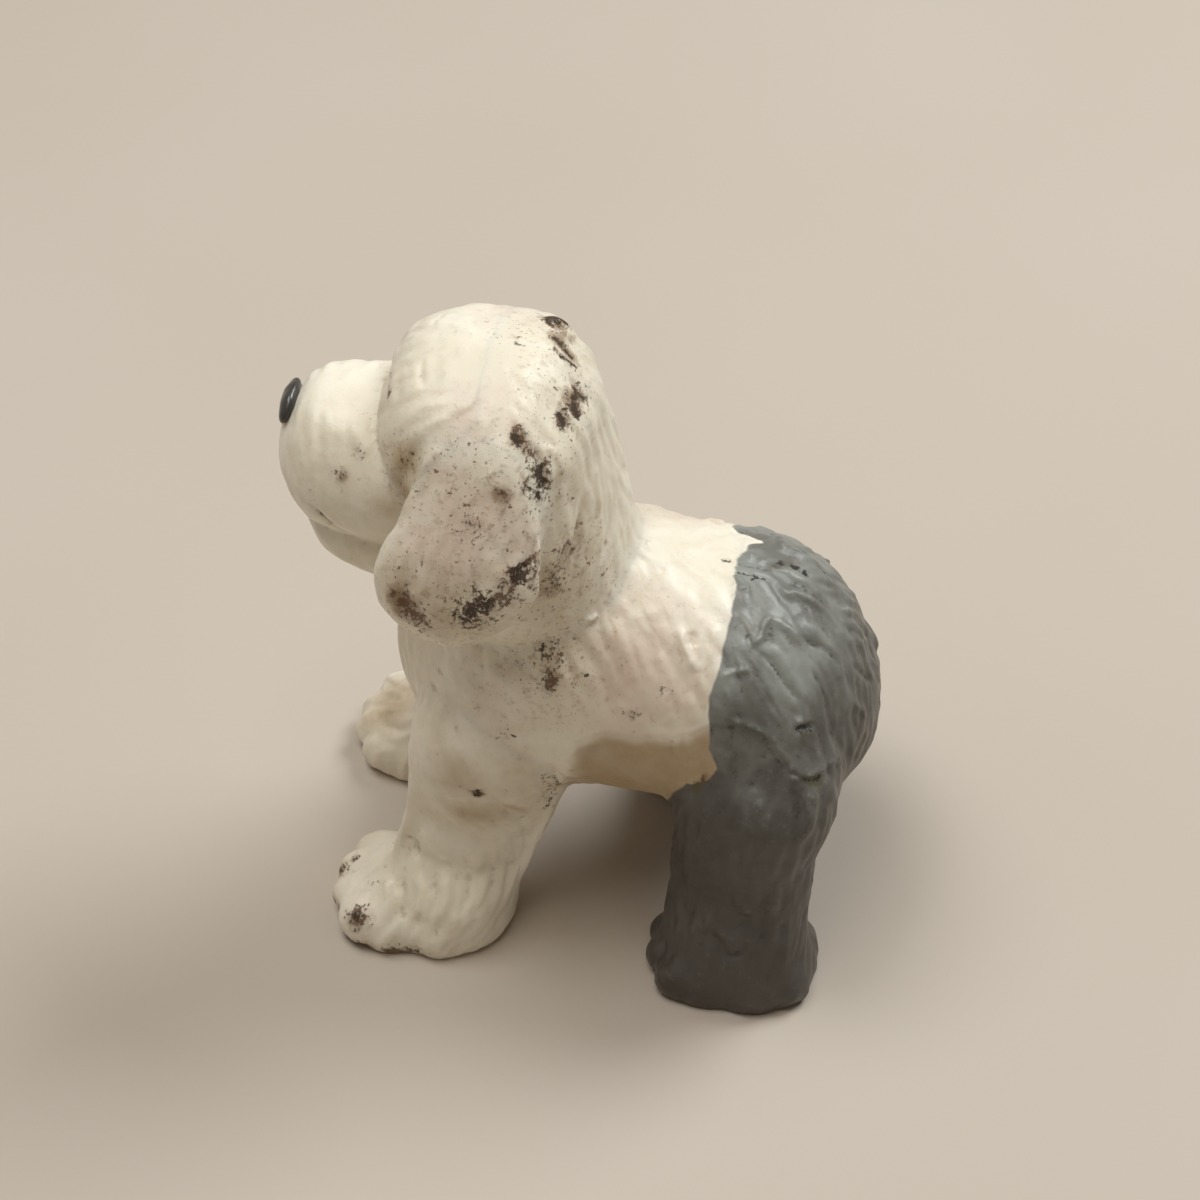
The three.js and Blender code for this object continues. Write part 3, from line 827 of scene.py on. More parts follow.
class HairTree(NodeWork):
    """Geometry Nodes tree that lays tapered locks along a surface's hair_flow attribute."""

    steps = 7
    sides = 6
    crowding = 2.2
    size_range = (0.7, 1.3)
    sway_scale = 0.35
    sway_shift = 0.17
    girth_ends = ((0.0, 0.35), (1.0, 0.1))
    girth_between = ((0.3, 0.95), (0.6, 0.85))

    def __init__(self) -> None:
        """Builds the tree."""
        super().__init__(bpy.data.node_groups.new("Sculpted hair", "GeometryNodeTree"))
        face = self.tree.interface
        self.sockets: dict[str, str] = {}
        kinds = {"Skin": "Geometry", "Seed": "Int", "Material": "Material"}
        for name in ("Skin", "Spacing", "Length", "Radius", "Sink", "Lift", "Wander", "Seed", "Material"):
            kind = f"NodeSocket{kinds.get(name, 'Float')}"
            self.sockets[name.lower()] = face.new_socket(name=name, in_out="INPUT", socket_type=kind).identifier
        face.new_socket(name="Locks", in_out="OUTPUT", socket_type="NodeSocketGeometry")
        self.given = self.tree.nodes.new("NodeGroupInput").outputs
        self.position = self.add("GeometryNodeInputPosition").outputs[0]
        self.size = self.named("size", "FLOAT")
        real = self.add("GeometryNodeRealizeInstances", {"Geometry": self.tubes(self.trails(self.roots()))})
        inputs = {"Geometry": real.outputs[0], "Material": self.given["Material"]}
        self.add("NodeGroupOutput", {0: self.add("GeometryNodeSetMaterial", inputs).outputs[0]})

    def named(self, name: str, kind: str) -> Socket:
        """Reads a named attribute."""
        return self.add("GeometryNodeInputNamedAttribute", {"Name": name}, data_type=kind).outputs["Attribute"]

    def stored(self, geometry: Socket, name: str, kind: str, value: object) -> Socket:
        """Writes a named attribute on points."""
        inputs = {"Geometry": geometry, "Name": name, "Value": value}
        node = self.add("GeometryNodeStoreNamedAttribute", inputs, data_type=kind, domain="POINT")
        return node.outputs["Geometry"]

    def sampled(self, value: Socket) -> Socket:
        """Reads a vector from the skin next to each point."""
        inputs = {"Mesh": self.given["Skin"], "Value": value, "Sample Position": self.position}
        return self.add("GeometryNodeSampleNearestSurface", inputs, data_type="FLOAT_VECTOR").outputs["Value"]

    def skin_normal(self) -> Socket:
        """Reads the skin's outward direction next to each point."""
        return self.sampled(self.add("GeometryNodeInputNormal").outputs[0])

    def roots(self) -> Socket:
        """Scatters the roots over the skin, each with its number and its size."""
        given = self.given
        area = self.maths("MULTIPLY", given["Spacing"], given["Spacing"])
        spread = self.add(
            "GeometryNodeDistributePointsOnFaces",
            {
                "Mesh": given["Skin"], "Seed": given["Seed"], "Distance Min": given["Spacing"],
                "Density Max": self.maths("DIVIDE", self.crowding, area),
                "Density Factor": self.named("hair_cover", "FLOAT"),
            },
            distribute_method="POISSON",
        )
        index = self.add("GeometryNodeInputIndex").outputs[0]
        points = self.stored(spread.outputs["Points"], "lock", "INT", index)
        small, large = self.size_range
        inputs = {"Seed": given["Seed"], "ID": index, 2: small, 3: large}
        vary = self.add("FunctionNodeRandomValue", inputs, data_type="FLOAT")
        size = self.maths("MULTIPLY", vary.outputs[1], self.named("hair_scale", "FLOAT"))
        return self.stored(points, "size", "FLOAT", size)

    def heading(self) -> Socket:
        """Gives the direction of a lock's next step, along the flow with a little sway."""
        normal = self.skin_normal()
        flow = self.sampled(self.named("hair_flow", "FLOAT_VECTOR"))
        lift = self.vectors("SCALE", normal, scale=self.vectors("DOT_PRODUCT", flow, normal))
        along = self.vectors("NORMALIZE", self.vectors("SUBTRACT", flow, lift))
        lock_shift = self.maths("MULTIPLY", self.named("lock", "INT"), self.sway_shift)
        shift = self.add("ShaderNodeCombineXYZ", {0: lock_shift}).outputs[0]
        inputs = {"Vector": self.vectors("ADD", self.position, shift), "Scale": self.sway_scale, "Detail": 1.0}
        noise = self.add("ShaderNodeTexNoise", inputs, noise_dimensions="3D").outputs[0]
        sway = self.maths("MULTIPLY", self.maths("SUBTRACT", noise, 0.5), self.given["Wander"])
        aside = self.vectors("SCALE", self.vectors("CROSS_PRODUCT", normal, along), scale=sway)
        return self.vectors("NORMALIZE", self.vectors("ADD", along, aside))

    def trails(self, points: Socket) -> Socket:
        """Walks from each root over the skin and keeps a point at every step."""
        walk_in, walk_out = self.add("GeometryNodeRepeatInput"), self.add("GeometryNodeRepeatOutput")
        walk_in.pair_with_output(walk_out)
        walk_out.repeat_items.new("GEOMETRY", "Trail")
        self.feed(walk_in.inputs["Iterations"], self.steps)
        self.feed(walk_in.inputs["Geometry"], points)
        walkers = self.stored(walk_in.outputs["Geometry"], "step", "INT", walk_in.outputs["Iteration"])
        trail = self.add("GeometryNodeJoinGeometry", {0: walkers})
        self.feed(trail.inputs[0], walk_in.outputs["Trail"])
        stride = self.maths("DIVIDE", self.given["Length"], float(self.steps - 1))
        stride = self.maths("MULTIPLY", stride, self.size)
        offset = self.vectors("SCALE", self.heading(), scale=stride)
        moved = self.add("GeometryNodeSetPosition", {"Geometry": walkers, "Offset": offset})
        near = self.add("GeometryNodeProximity", {"Geometry": self.given["Skin"]}, target_element="FACES")
        inputs = {"Geometry": moved.outputs[0], "Position": near.outputs["Position"]}
        self.feed(walk_out.inputs["Geometry"], self.add("GeometryNodeSetPosition", inputs).outputs[0])
        self.feed(walk_out.inputs["Trail"], trail.outputs[0])
        return walk_out.outputs["Trail"]

    def tubes(self, trail: Socket) -> Socket:
        """Makes a tapered tube along each trail, sunk at its root and lifted towards its tip."""
        lock, step = self.named("lock", "INT"), self.named("step", "INT")
        inputs = {"Points": trail, "Curve Group ID": lock, "Weight": step}
        curves = self.add("GeometryNodePointsToCurves", inputs).outputs[0]
        share = self.add("GeometryNodeSplineParameter").outputs["Factor"]
        radius = self.maths("MULTIPLY", self.given["Radius"], self.size)
        girth = self.maths("MULTIPLY", radius, self.profile(share))
        curves = self.stored(curves, "girth", "FLOAT", girth)
        sunk = self.maths("MULTIPLY", self.given["Sink"], -1.0)
        height = self.maths("MULTIPLY", self.maths("MULTIPLY_ADD", share, self.given["Lift"], sunk), radius)
        offset = self.vectors("SCALE", self.skin_normal(), scale=height)
        raised = self.add("GeometryNodeSetPosition", {"Geometry": curves, "Offset": offset})
        inputs = {"Resolution": self.sides, "Radius": 1.0}
        outline = self.add("GeometryNodeCurvePrimitiveCircle", inputs, mode="RADIUS")
        inputs = {
            "Curve": raised.outputs[0], "Profile Curve": outline.outputs[0], "Fill Caps": True,
            "Scale": self.named("girth", "FLOAT"),
        }
        return self.add("GeometryNodeCurveToMesh", inputs).outputs[0]

    def profile(self, share: Socket) -> Socket:
        """Gives a lock's fullness along its length: blunt at the root and drawn out at the tip."""
        curve = self.add("ShaderNodeFloatCurve", {"Value": share})
        line = curve.mapping.curves[0]
        for point, place in zip(line.points, self.girth_ends):
            point.location = place
        for place in self.girth_between:
            line.points.new(*place)
        curve.mapping.update()
        return curve.outputs[0]

    def grow(self, skin: Shell, flow: Array, cover: Array, scale: Array, sizes: HairSizes) -> Shell:
        """Grows the locks on a skin and bakes them.

        Args:
            skin: What they grow on.
            flow: Direction at each point.
            cover: Share of the locks kept at each point.
            scale: Size of the locks at each point.
            sizes: Their sizes.

        Returns:
            The locks as closed tubes.
        """
        mesh = skin.mesh("skin")
        for name, values in (("hair_flow", flow), ("hair_cover", cover), ("hair_scale", scale)):
            kind, key = ("FLOAT", "value") if values.ndim == 1 else ("FLOAT_VECTOR", "vector")
            layer = mesh.attributes.new(name, kind, "POINT")
            layer.data.foreach_set(key, values.astype(np.float32).ravel())

        def dress(holder: bpy.types.Object) -> None:
            """Adds the tree with its inputs."""
            modifier = holder.modifiers.new("hair", "NODES")
            modifier.node_group = self.tree
            for name, value in vars(sizes).items():
                modifier[self.sockets[name]] = value

        return read_shell(evaluated(mesh, dress), mixed=True)


def reach_of(tree: BVHTree, points: Array) -> Array:
    """Measures from points to a closed surface.

    Args:
        tree: Search tree of the surface.
        points: One row for each point.

    Returns:
        The distances, negative inside.
    """
    result = np.empty(len(points))
    for index, point in enumerate(points.tolist()):
        place, normal, _, distance = tree.find_nearest(point)
        inside = normal.dot(Vector(point) - place) < 0
        result[index] = -distance if inside else distance
    return result


def ripple(points: Array, scale: float, seed: int) -> Array:
    """Gives a smooth random swell of about -1 to 1.

    Args:
        points: Where to take it.
        scale: Length of a wave in millimetres.
        seed: Picks the pattern.

    Returns:
        One number for each point.
    """
    chance = np.random.default_rng(seed)
    total = np.zeros(len(points))
    for _ in range(7):
        wave = unit(chance.normal(size=3)) * 2 * np.pi / (scale * chance.uniform(0.7, 1.5))
        total += np.sin(points @ wave + chance.uniform(0, 2 * np.pi))
    return total / 3.5


def blend(values: Array, mask: Array, other: Array) -> Array:
    """Mixes rows towards others by a share for each row."""
    share = mask[:, None] if values.ndim == 2 else mask
    return values * (1 - share) + other * share


class Mark(Enum):
    """Numbers that the skin keeps at each point for its finish."""

    PAINT = "paint_edge"
    # Hollows of the relief, which the finishes darken as part grime, part painted shade
    HOLLOW_GRIME_AND_SHADE = "hollow"
    CREST = "crest"
    # Brown dirt, and painted shade in the line under the fringe's edge and in the cheek recess beside it
    SOIL_AND_SHADE = "soil"
    SOOT = "soot"
    # Tan film: part stain, part painted shade of undersides, recesses, ears, necks and legs
    TAN = "tan"
    ROSE = "rose"
    SPECKS = "specks"


@dataclass(frozen=True)
class Stroke:
    """A line over the skin through places in millimetres, for a crease, a ridge, a stain, a band of painted
    shade or a round mark.
    """

    line: tuple[Place, ...]
    width: float
    strength: float
    both: bool = True
    taper: ClassVar[float] = 0.3
    blunt: ClassVar[float] = -0.04
    reach: ClassVar[float] = 2.6
    fineness: ClassVar[float] = 0.4

    def paths(self) -> list[Array]:
        """Gives the line, and its mirror image where both sides have it."""
        line = np.array(self.line, dtype=float)
        return [line, line * (1, -1, 1)] if self.both else [line]

    def pressed(self, points: Array, tree: BVHTree) -> Array:
        """Measures how strongly the line acts on each point.

        Args:
            points: The points of the skin.
            tree: Search tree of the skin, onto which the line is laid.

        Returns:
            The strength beside the line, fading to 0 away from it and at its ends.
        """
        total = np.zeros(len(points))
        for path in self.paths():
            shares, samples = np.array((0.5,)), path[:1]
            if len(path) > 1:
                length = np.linalg.norm(np.diff(path, axis=0), axis=1).sum()
                shares = np.linspace(0, 1, max(4, int(length / (self.fineness * self.width)) + 1))
                samples = spline(path, shares)
            laid = np.array([tree.find_nearest(place)[0] for place in samples.tolist()])
            margin = self.reach * self.width
            low, high = laid.min(axis=0) - margin, laid.max(axis=0) + margin
            near = np.nonzero(((points > low) & (points < high)).all(axis=1))[0]
            gaps = np.linalg.norm(points[near, None] - laid[None], axis=2)
            first = gaps.argmin(axis=1)
            share = shares[first]
            fade = ramp(np.minimum(share, 1 - share), self.blunt, self.taper)
            value = np.exp(-((gaps[np.arange(len(near)), first] / self.width) ** 2)) * fade
            total[near] = np.maximum(total[near], value)
        return self.strength * total


def rows_of(table: str) -> list[tuple[list[float], tuple[Place, ...]]]:
    """Reads a table of lines over the skin.

    Args:
        table: Rows that end in a semicolon; the last numbers of each are the coordinates of its places.

    Returns:
        The numbers before the places, and the places, of each row.
    """
    found = []
    for row in table.split(";")[:-1]:
        numbers = [float(word) for word in row.split()]
        lead = len(numbers) % 3
        found.append((numbers[:lead], tuple(zip(*(numbers[lead + axis::3] for axis in range(3))))))
    return found


def strokes(table: str, both: bool = True) -> tuple[Stroke, ...]:
    """Makes strokes from rows of width, strength and places; both gives them to the far side too."""
    return tuple(Stroke(line, *numbers, both) for numbers, line in rows_of(table))


@dataclass(frozen=True)
class Tuft:
    """A lock of hair: a tapered tube through given places in millimetres, half sunk in the skin."""

    line: tuple[Place, ...]
    radius: float
    both: bool = True
    shape: ClassVar[tuple[float, float, float]] = (0.12, 0.95, 0.7)

    def shells(self, steps: int = 16, around: int = 12) -> list[Shell]:
        """Makes the tube, and its mirror image where both sides have it.

        Args:
            steps: Rings from root to tip.
            around: Points in each ring.

        Returns:
            One or two closed shells.
        """
        made = []
        shares = np.linspace(0, 1, steps)
        root, tip, fullness = self.shape
        girth = self.radius * np.sin(np.pi * (root + (tip - root) * shares)) ** fullness
        angles = 2 * np.pi * np.arange(around) / around
        for side in (1, -1) if self.both else (1,):
            line = np.array(self.line, dtype=float) * (1, side, 1)
            middle = spline(line, shares)
            along = unit(np.gradient(middle, axis=0))
            across = unit(np.cross(along, np.where(np.abs(along[:, 2:]) < 0.9, UP, ACROSS)))
            third = np.cross(along, across)
            turn = angles[None, :, None]
            ring = np.cos(turn) * across[:, None] + np.sin(turn) * third[:, None]
            rows = middle[:, None] + ring * girth[:, None, None]
            points = np.concatenate((middle[:1], rows.reshape(-1, 3), middle[-1:]))
            made.append(Shell(points, tube_faces(steps, around)))
        return made


def tufts(table: str, both: bool = True) -> tuple[Tuft, ...]:
    """Makes tufts from rows of radius and places; both gives them to the far side too."""
    return tuple(Tuft(line, *numbers, both) for numbers, line in rows_of(table))


@dataclass(frozen=True)
class Hem:
    """The lower edge of the body's hair along both flanks, where it overhangs belly and leg."""

    line: tuple[tuple[float, float], ...] = (
        (-0.4, 16.4), (0.2, 17.1), (1.1, 18.2), (2.5, 18.9), (4.2, 18.7), (5.8, 19.0), (7.1, 19.4), (8.8, 20.1),
        (10.7, 19.8), (11.6, 19.2), (12.5, 18.0), (13.2, 17.2), (14.2, 16.9), (15.2, 16.8), (16.4, 16.2),
    )
    flank_height: float = 0.1
    thigh_height: float = 0.22
    fade: float = 3.0
    tuft: float = 1.7
    tuft_drop: float = 0.22
    edge: float = 0.16
    inner_y: float = 4.6

    def level(self, x: Array) -> Array:
        """Gives the height of the edge at places along the body."""
        line = np.array(self.line)
        scallop = np.abs(np.sin(np.pi * x / self.tuft + 1.6 * np.sin(0.9 * x))) * (0.6 + 0.4 * np.sin(2.1 * x))
        return np.interp(x, line[:, 0], line[:, 1]) - self.tuft_drop * scallop

    def raised(self, points: Array) -> Array:
        """Gives how far the hair above the edge stands out.

        Args:
            points: The points of the skin.

        Returns:
            A height in millimetres for each point.
        """
        x, y, z = points.T
        above = z - self.level(x)
        height = self.flank_height + (self.thigh_height - self.flank_height) * ramp(x, 7.0, 9.5)
        outside = ramp(np.abs(y), self.inner_y, self.inner_y + 1.4)
        height = height * ramp(x, -0.4, 1.0) * (1 - ramp(x, 15.4, 16.4)) * outside
        return height * ramp(above, -self.edge, self.edge) * np.exp(-np.maximum(above, 0) / self.fade)


@dataclass(frozen=True)
class Ankle:
    """The step from a leg's outer side to its broader paw, in millimetres."""

    waist: float
    flare: float = 0.3
    paw_top: float = 3.2
    narrowest: float = 6.2
    release: tuple[float, float] = (7.8, 16.5)

    def shifted(self, points: Array) -> Array:
        """Gives how far the leg's outer side moves outwards.

        Args:
            points: The points of the skin.

        Returns:
            Millimetres for each point, negative towards the middle of the animal.
        """
        y, z = points[:, 1], points[:, 2]
        narrow = self.waist * ramp(z, self.paw_top, self.narrowest) * (1 - ramp(z, *self.release))
        broad = self.flare * (1 - ramp(z, 1.6, self.paw_top + 1.0))
        return (broad - narrow) * ramp(np.abs(y), 6.6, 9.2)


@dataclass(frozen=True)
class PaintLine:
    """The edge between the cream front and the grey rear, as a place along the body for each height."""

    heights: tuple[float, ...] = (
        10.0, 11.9, 14.3, 15.6, 16.4, 17.2, 18.4, 20.2, 21.5, 22.6, 23.6, 24.3, 24.8, 25.1,
    )
    places: tuple[float, ...] = (5.2, 5.7, 6.4, 7.2, 8.5, 8.9, 8.4, 8.2, 8.2, 8.5, 8.6, 8.9, 8.8, 8.3)
    leg_top: float = 12.0
    tongue: tuple[float, float, float] = (3.0, 0.45, 0.9)

    def past(self, points: Array, rear_leg: Array) -> Array:
        """Measures how far each point is inside the grey.

        Args:
            points: The points of the skin.
            rear_leg: Whether each point is on a rear leg.

        Returns:
            Millimetres, negative in the cream.
        """
        x, y, z = points.T
        place = np.interp(z, self.heights, self.places)
        middle, width, reach = self.tongue
        place = place + reach * np.exp(-(((y - middle) / width) ** 2)) * ramp(z, 23.0, 24.0)
        place = place - 0.9 * ramp(y, 3.3, 4.2) * ramp(z, 22.0, 24.0)
        wobble = 0.1 * ripple(points, 3.0, 21) + 0.03 * ripple(points, 1.0, 22)
        past = x - place + wobble
        past = np.where(rear_leg & (z < self.leg_top), 2.0, past)
        return np.clip(past, -2.0, 2.0)


RUMP_RELIEF = strokes("""
    0.13 -0.16 8.8 -7.2 20.3 9.6 -7.3 20.1 10.7 -7.4 19.9 11.6 -7.6 19.3 12.5 -7.8 18.1 13.2 -7.9 17.3
        14.2 -7.7 17 15 -6.8 16.9;
    0.2 0.12 8.8 -7.2 20.6 9.7 -7.3 20.4 10.8 -7.4 20.2 11.8 -7.6 19.5 12.7 -7.8 18.3;
    0.2 0.26 10.8 -2.5 24.1 10.6 -3.3 24 10.5 -4 23.8 10.1 -4.4 23.5;
    0.2 -0.14 9.1 -3 24.4 9.7 -3.8 23.9 10.1 -4.4 23.5;
    0.17 -0.15 10.3 -4.5 23.4 11.4 -5 22.9 12.2 -5.5 21.9 13.2 -5.8 21;
    0.17 -0.15 12.4 -2.9 23.5 13.2 -2.9 22.9 14.2 -2.6 22 15.1 -2.9 20.9;
    0.16 -0.13 9.3 -4.6 23.6 10.3 -5.4 22.8 11.4 -6.4 21.6 12.3 -6.7 20.3;
    0.17 -0.12 13.4 -4.1 22.1 14.3 -4.5 20.8 14.7 -5 19.5;
    0.36 0.14 10.8 -4.2 23.6 12 -4.6 22.8 12.9 -5.3 21.8 13.9 -5.4 20.3;
    0.42 0.15 12.3 -2.4 23.7 13.5 -2.1 22.7 14.7 -2.3 21.8 15.4 -2.6 20.9;
    0.36 0.13 9.6 -5.2 23.2 10.7 -5.8 22.4 11.4 -6.5 21.4;
    0.15 0.14 8.7 -6 22.3 9.2 -5.7 22.5 9.8 -5.6 22.7 10.1 -5.7 22.6;
    0.17 0.14 9 -6.3 22 9.3 -6.7 21.3 9.5 -7.2 20.2;
    0.2 0.2 9.4 -7.8 18.4 9.5 -7.9 17.8 9.7 -8.1 17.3;
    0.2 -0.3 12.9 -6.7 19.7 13.5 -6.4 19.6 14.1 -5.8 19.4;
    0.22 0.24 12.9 -6.6 20.1 13.4 -6.3 20.1;
    0.12 -0.1 7.6 0.4 25.1 8.6 0.5 25;
    0.12 -0.12 8.1 -0.2 25 9.6 -0.4 24.8 10.6 -0.4 24.6;
    0.2 0.14 8.8 1.4 24.9 9.4 1.2 24.9;
    0.24 0.16 15.9 -3.4 19.2 16.3 -3 18.1 16.7 -2.6 16.9;
    0.2 -0.13 15.5 -2 20.7 16.3 -1.5 19.4 16.8 -0.5 17.7;
    0.4 0.18 14.8 -1 22.6 15.7 -0.6 21.4 16.4 0 19.8;
    0.35 0.16 11 -0.8 24.6 12.6 -0.5 24 14 -0.3 23.1;
    0.35 0.2 10.2 2.6 24.4 11.8 2.9 23.8 13.4 3 22.8;
""")
LEG_RELIEF = strokes("""
    0.4 -0.22 13.1 -8.3 17.1 13.6 -9 15.9 13.8 -9.8 14;
    0.45 0.25 14.3 -8 16.9 14.4 -8.9 15.1 14 -9.6 12.9;
    0.35 0.2 11.4 -9.1 16.4 11.7 -9.7 15.7 12.2 -9.9 14.6;
    0.3 0.16 10.2 -10.8 9.4 10.9 -11 8 11.8 -11 7.5;
    0.5 0.2 13.2 -10.4 10.4 13.2 -10.5 7.2 13.3 -10.2 4.1;
    0.3 -0.14 12.3 -10.6 10 12.4 -10.8 7.2 12.6 -10.7 4.3;
    0.55 0.3 6.6 -9.3 4 8.6 -10.7 6.2 9.8 -10.9 5.9 11.3 -11.1 5.8 12.5 -10.7 5;
    0.22 -0.2 9.8 -11.1 5 10.6 -11.2 4.5 11.3 -11.1 5.1;
    0.4 -0.12 -9 -4.4 18.1 -7.7 -6 18.4 -6.7 -7 18.2;
    0.4 -0.12 -8.2 -5 19.8 -6.9 -6.3 19.7 -5.5 -7.3 19.6;
    0.4 0.12 -8.6 -4.9 19 -7.4 -6.2 19.1 -6 -7.2 18.9;
    0.4 -0.12 -6.8 -5.6 21.2 -5.8 -6.6 21 -4.6 -7.3 20.7;
    0.3 -0.16 -2.9 -7.9 20 -1.8 -8.1 19.3 -1.3 -7.9 20;
    0.5 0.2 1.2 -8.2 17 0.3 -7.8 15.1 -0.3 -7.5 12.8;
    0.25 -0.25 -9.5 -8 6.9 -9.3 -8.3 5.9;
    0.35 0.22 -10.7 -7.9 4.2 -10.2 -9 3.3 -10.3 -9.9 2.2;
    0.25 -0.18 -9.8 -8.4 4.6 -9.3 -9.2 3.6 -9.2 -9.9 2.3;
    0.35 0.22 -8.9 -9 5.8 -8.3 -9.5 4.2 -8.1 -9.8 2.5;
    0.35 0.2 -7.2 -9.8 6.7 -6.6 -10 5.2 -6.9 -10.1 3.1;
    0.22 -0.16 -8 -9.5 6 -7.4 -9.8 4.6 -7.5 -10 2.8;
    0.22 -0.14 -5.6 -9.9 7.4 -5.3 -9.9 5.7 -5.7 -10 3.4;
    0.4 0.2 -4 -9.9 7.4 -4.2 -9.8 5.7 -4.7 -9.7 3.7;
""")
FLANK_RELIEF = strokes("""
    0.4 0.16 -7.6 -6.6 21.6 -6.2 -7.4 20.2 -4.6 -8 18.6;
    0.4 -0.14 -6.4 -6.8 22.6 -5 -7.6 21.2 -3.4 -8.1 19.6;
    0.42 0.15 -5.2 -6.9 23.4 -3.8 -7.6 22 -2 -8.2 20.4;
    0.36 -0.13 -3.4 -6.9 23.8 -2 -7.5 22.4 -0.2 -8.1 20.6;
    0.42 0.14 -1.6 -6.7 24.4 -0.4 -7.3 23 1 -7.9 21.2;
    0.36 -0.12 0.6 -6.3 24.2 1.8 -6.9 22.8 2.6 -7.5 21.2;
    0.24 0.3 6.1 -4.2 24.3 6.4 -5 23.6 6.9 -5.6 23 7.1 -6 22.4;
    0.26 0.14 7.5 -3.5 24.3 7.4 -4.9 23.6 7.5 -5.7 22.8 7.2 -6 22.5;
    0.3 -0.12 6.8 -4.4 24.1 6.9 -5.1 23.5;
    0.25 0.12 8 -3.6 24.2 8 -4.7 23.5 7.9 -5.7 22.7;
    0.45 -0.14 4.5 -3.9 24.7 5 -4.9 23.9 5.6 -5.9 22.8;
    0.5 0.14 2.4 -4.4 24.4 3.1 -5.6 23.2 3.8 -6.6 21.6;
    0.2 0.2 0.9 -5.3 24.8 1.3 -5 24.7 1.5 -4.7 24.9;
    0.4 0.14 5.6 -6.7 21.6 5.9 -7.2 20.4 6.1 -7.4 19.5;
    0.35 0.16 7 -6.6 21.6 7.2 -7.1 20.6 7.4 -7.3 19.7;
""")
HEAD_RELIEF = strokes("""
    0.2 -0.2 -15.2 -3.2 30.2 -14.2 -4.7 30.2 -13.6 -4.6 29.2 -12.7 -4.1 28 -11.8 -3.9 27;
    0.4 0.08 -9.9 -1.6 38 -9.9 -2.6 37.6 -9.6 -3.8 37.3;
    0.45 0.07 -9.4 -1.6 38.4 -9.2 -2.6 38.2 -8.8 -3.7 38;
    0.4 0.06 -8.8 -1 38.8 -8.7 -2.4 38.5 -8.2 -3.5 38.4;
    0.16 -0.07 -8.5 -1.2 38.9 -8.4 -2.2 38.7 -8.1 -3.2 38.5;
    0.4 0.07 -8.1 -0.9 39.1 -8.1 -1.8 38.8 -7.8 -3 38.6;
    0.42 0.07 -7.2 -0.9 39.3 -7.1 -1.9 39.1 -6.7 -2.8 38.9;
    0.3 0.08 -6.5 -0.3 39.4 -6.4 -1.5 39.2;
    0.26 -0.12 -10.5 -0.9 37.5 -10.4 -1.6 37.3 -10.2 -2.4 37.2;
    0.42 0.13 -2.2 -0.8 38.6 -0.4 -1 37.2 0.9 -1.2 35 1.5 -1.3 33.2;
    0.34 -0.1 -1.6 -2.2 38 0 -2.6 36.2 0.8 -3 34.2 1 -3.2 32.6;
    0.42 0.12 -2.2 -3.4 37.9 -0.8 -4 36.2 -0.1 -4.5 34.4;
    0.3 -0.12 0.9 -0.3 35.4 1.6 -0.4 33.2 1.9 -0.5 31.2;
    0.36 0.14 1.2 -2 33.8 1.4 -2.5 32.2 1.4 -3 30.6;
    0.36 -0.12 0.6 -3.6 33.4 0.5 -4.2 31.8 0.1 -4.9 30.2;
    0.5 0.09 -13.6 -1.3 35.1 -13.5 -2.6 34.6 -12.8 -3.6 33.9;
    0.5 0.1 -12.7 -1.1 35.1 -12.4 -2.5 34.7 -11.7 -3.6 34.1;
    0.5 0.09 -14.5 -1.3 34.9 -14.5 -2.5 34.4 -14 -3.6 33.6;
    0.45 0.09 -11.6 -2.1 34.9 -11.5 -3.2 34.4 -11.2 -4 33.8;
    0.22 -0.24 -1.8 -5 37 -1.2 -5.5 36 -0.9 -5.9 34.6;
    0.42 -0.26 -7.5 -5.5 37.1 -8.2 -5.8 35.9 -8.8 -5.8 34.4 -9.3 -5.5 32.8;
    0.4 0.24 -6.8 -5.6 37 -7.5 -6.4 35.6 -8.1 -6.9 34.2 -9 -7.3 32.6;
    0.3 -0.25 -1 -7 33.1 -1.4 -8.3 32 -2.4 -9.2 30.7;
    0.3 0.16 0.1 -4.7 33.2 -0.1 -5.9 31.2 -0.8 -7 29.6;
    0.28 -0.18 0.7 -3.9 32.4 0.5 -5.1 30.4 -0.2 -6.2 28.6;
    0.32 0.16 1.4 -2.5 31.1 1.2 -3.9 29.4 0.6 -5.3 28;
    0.28 -0.16 1.8 -0.9 30.6 1.9 -2.5 29.1 1.5 -4 27.9;
    0.6 0.1 -6.4 -7.8 35.2 -6.6 -8.7 33.4 -6.9 -9.3 31;
    0.6 0.11 -4.4 -8 35 -4.3 -8.9 33 -4.4 -9.6 30.4;
    0.35 -0.14 -5.4 -7.9 35.2 -5.4 -8.8 33.2 -5.6 -9.5 30.8;
    0.35 -0.14 -2.9 -7.2 35.2 -2.7 -8.3 33.2 -2.9 -9.2 31.2;
    0.45 -0.14 -8 -8.6 32 -8 -9.2 30.2 -7.8 -9.6 28.2;
""")
TUFTS = tufts("""
    0.42 -3.4 3.2 38.2 -2.4 3.9 38 -1.4 4.2 37.4;
    0.34 -2.8 2.5 38.4 -1.8 3 38.1 -1 3.5 37.5;
    0.42 -1.6 -4.6 36.7 -0.8 -4.5 36 -0.5 -4.7 35.2 -0.7 -5.1 34.3;
    0.4 -1.3 -5 36.2 -1 -5.3 35.4 -1.1 -5.6 34.8;
""", both=False) + tufts("""
    0.5 -8.5 -8.9 29.2 -8.2 -9.2 28.2 -7.8 -9.2 27.5;
    0.5 -7.1 -9.1 28.6 -6.7 -9.3 27.8 -6.3 -9.3 27.2;
    0.5 -5.6 -9.1 28.6 -5.2 -9.3 27.9 -4.9 -9.3 27.3;
    0.46 -4.3 -9.1 29.3 -3.9 -9.3 28.5 -3.6 -9.2 27.9;
    0.42 -3.1 -9 30.4 -2.8 -9.1 29.5 -2.6 -9 28.8;
""")
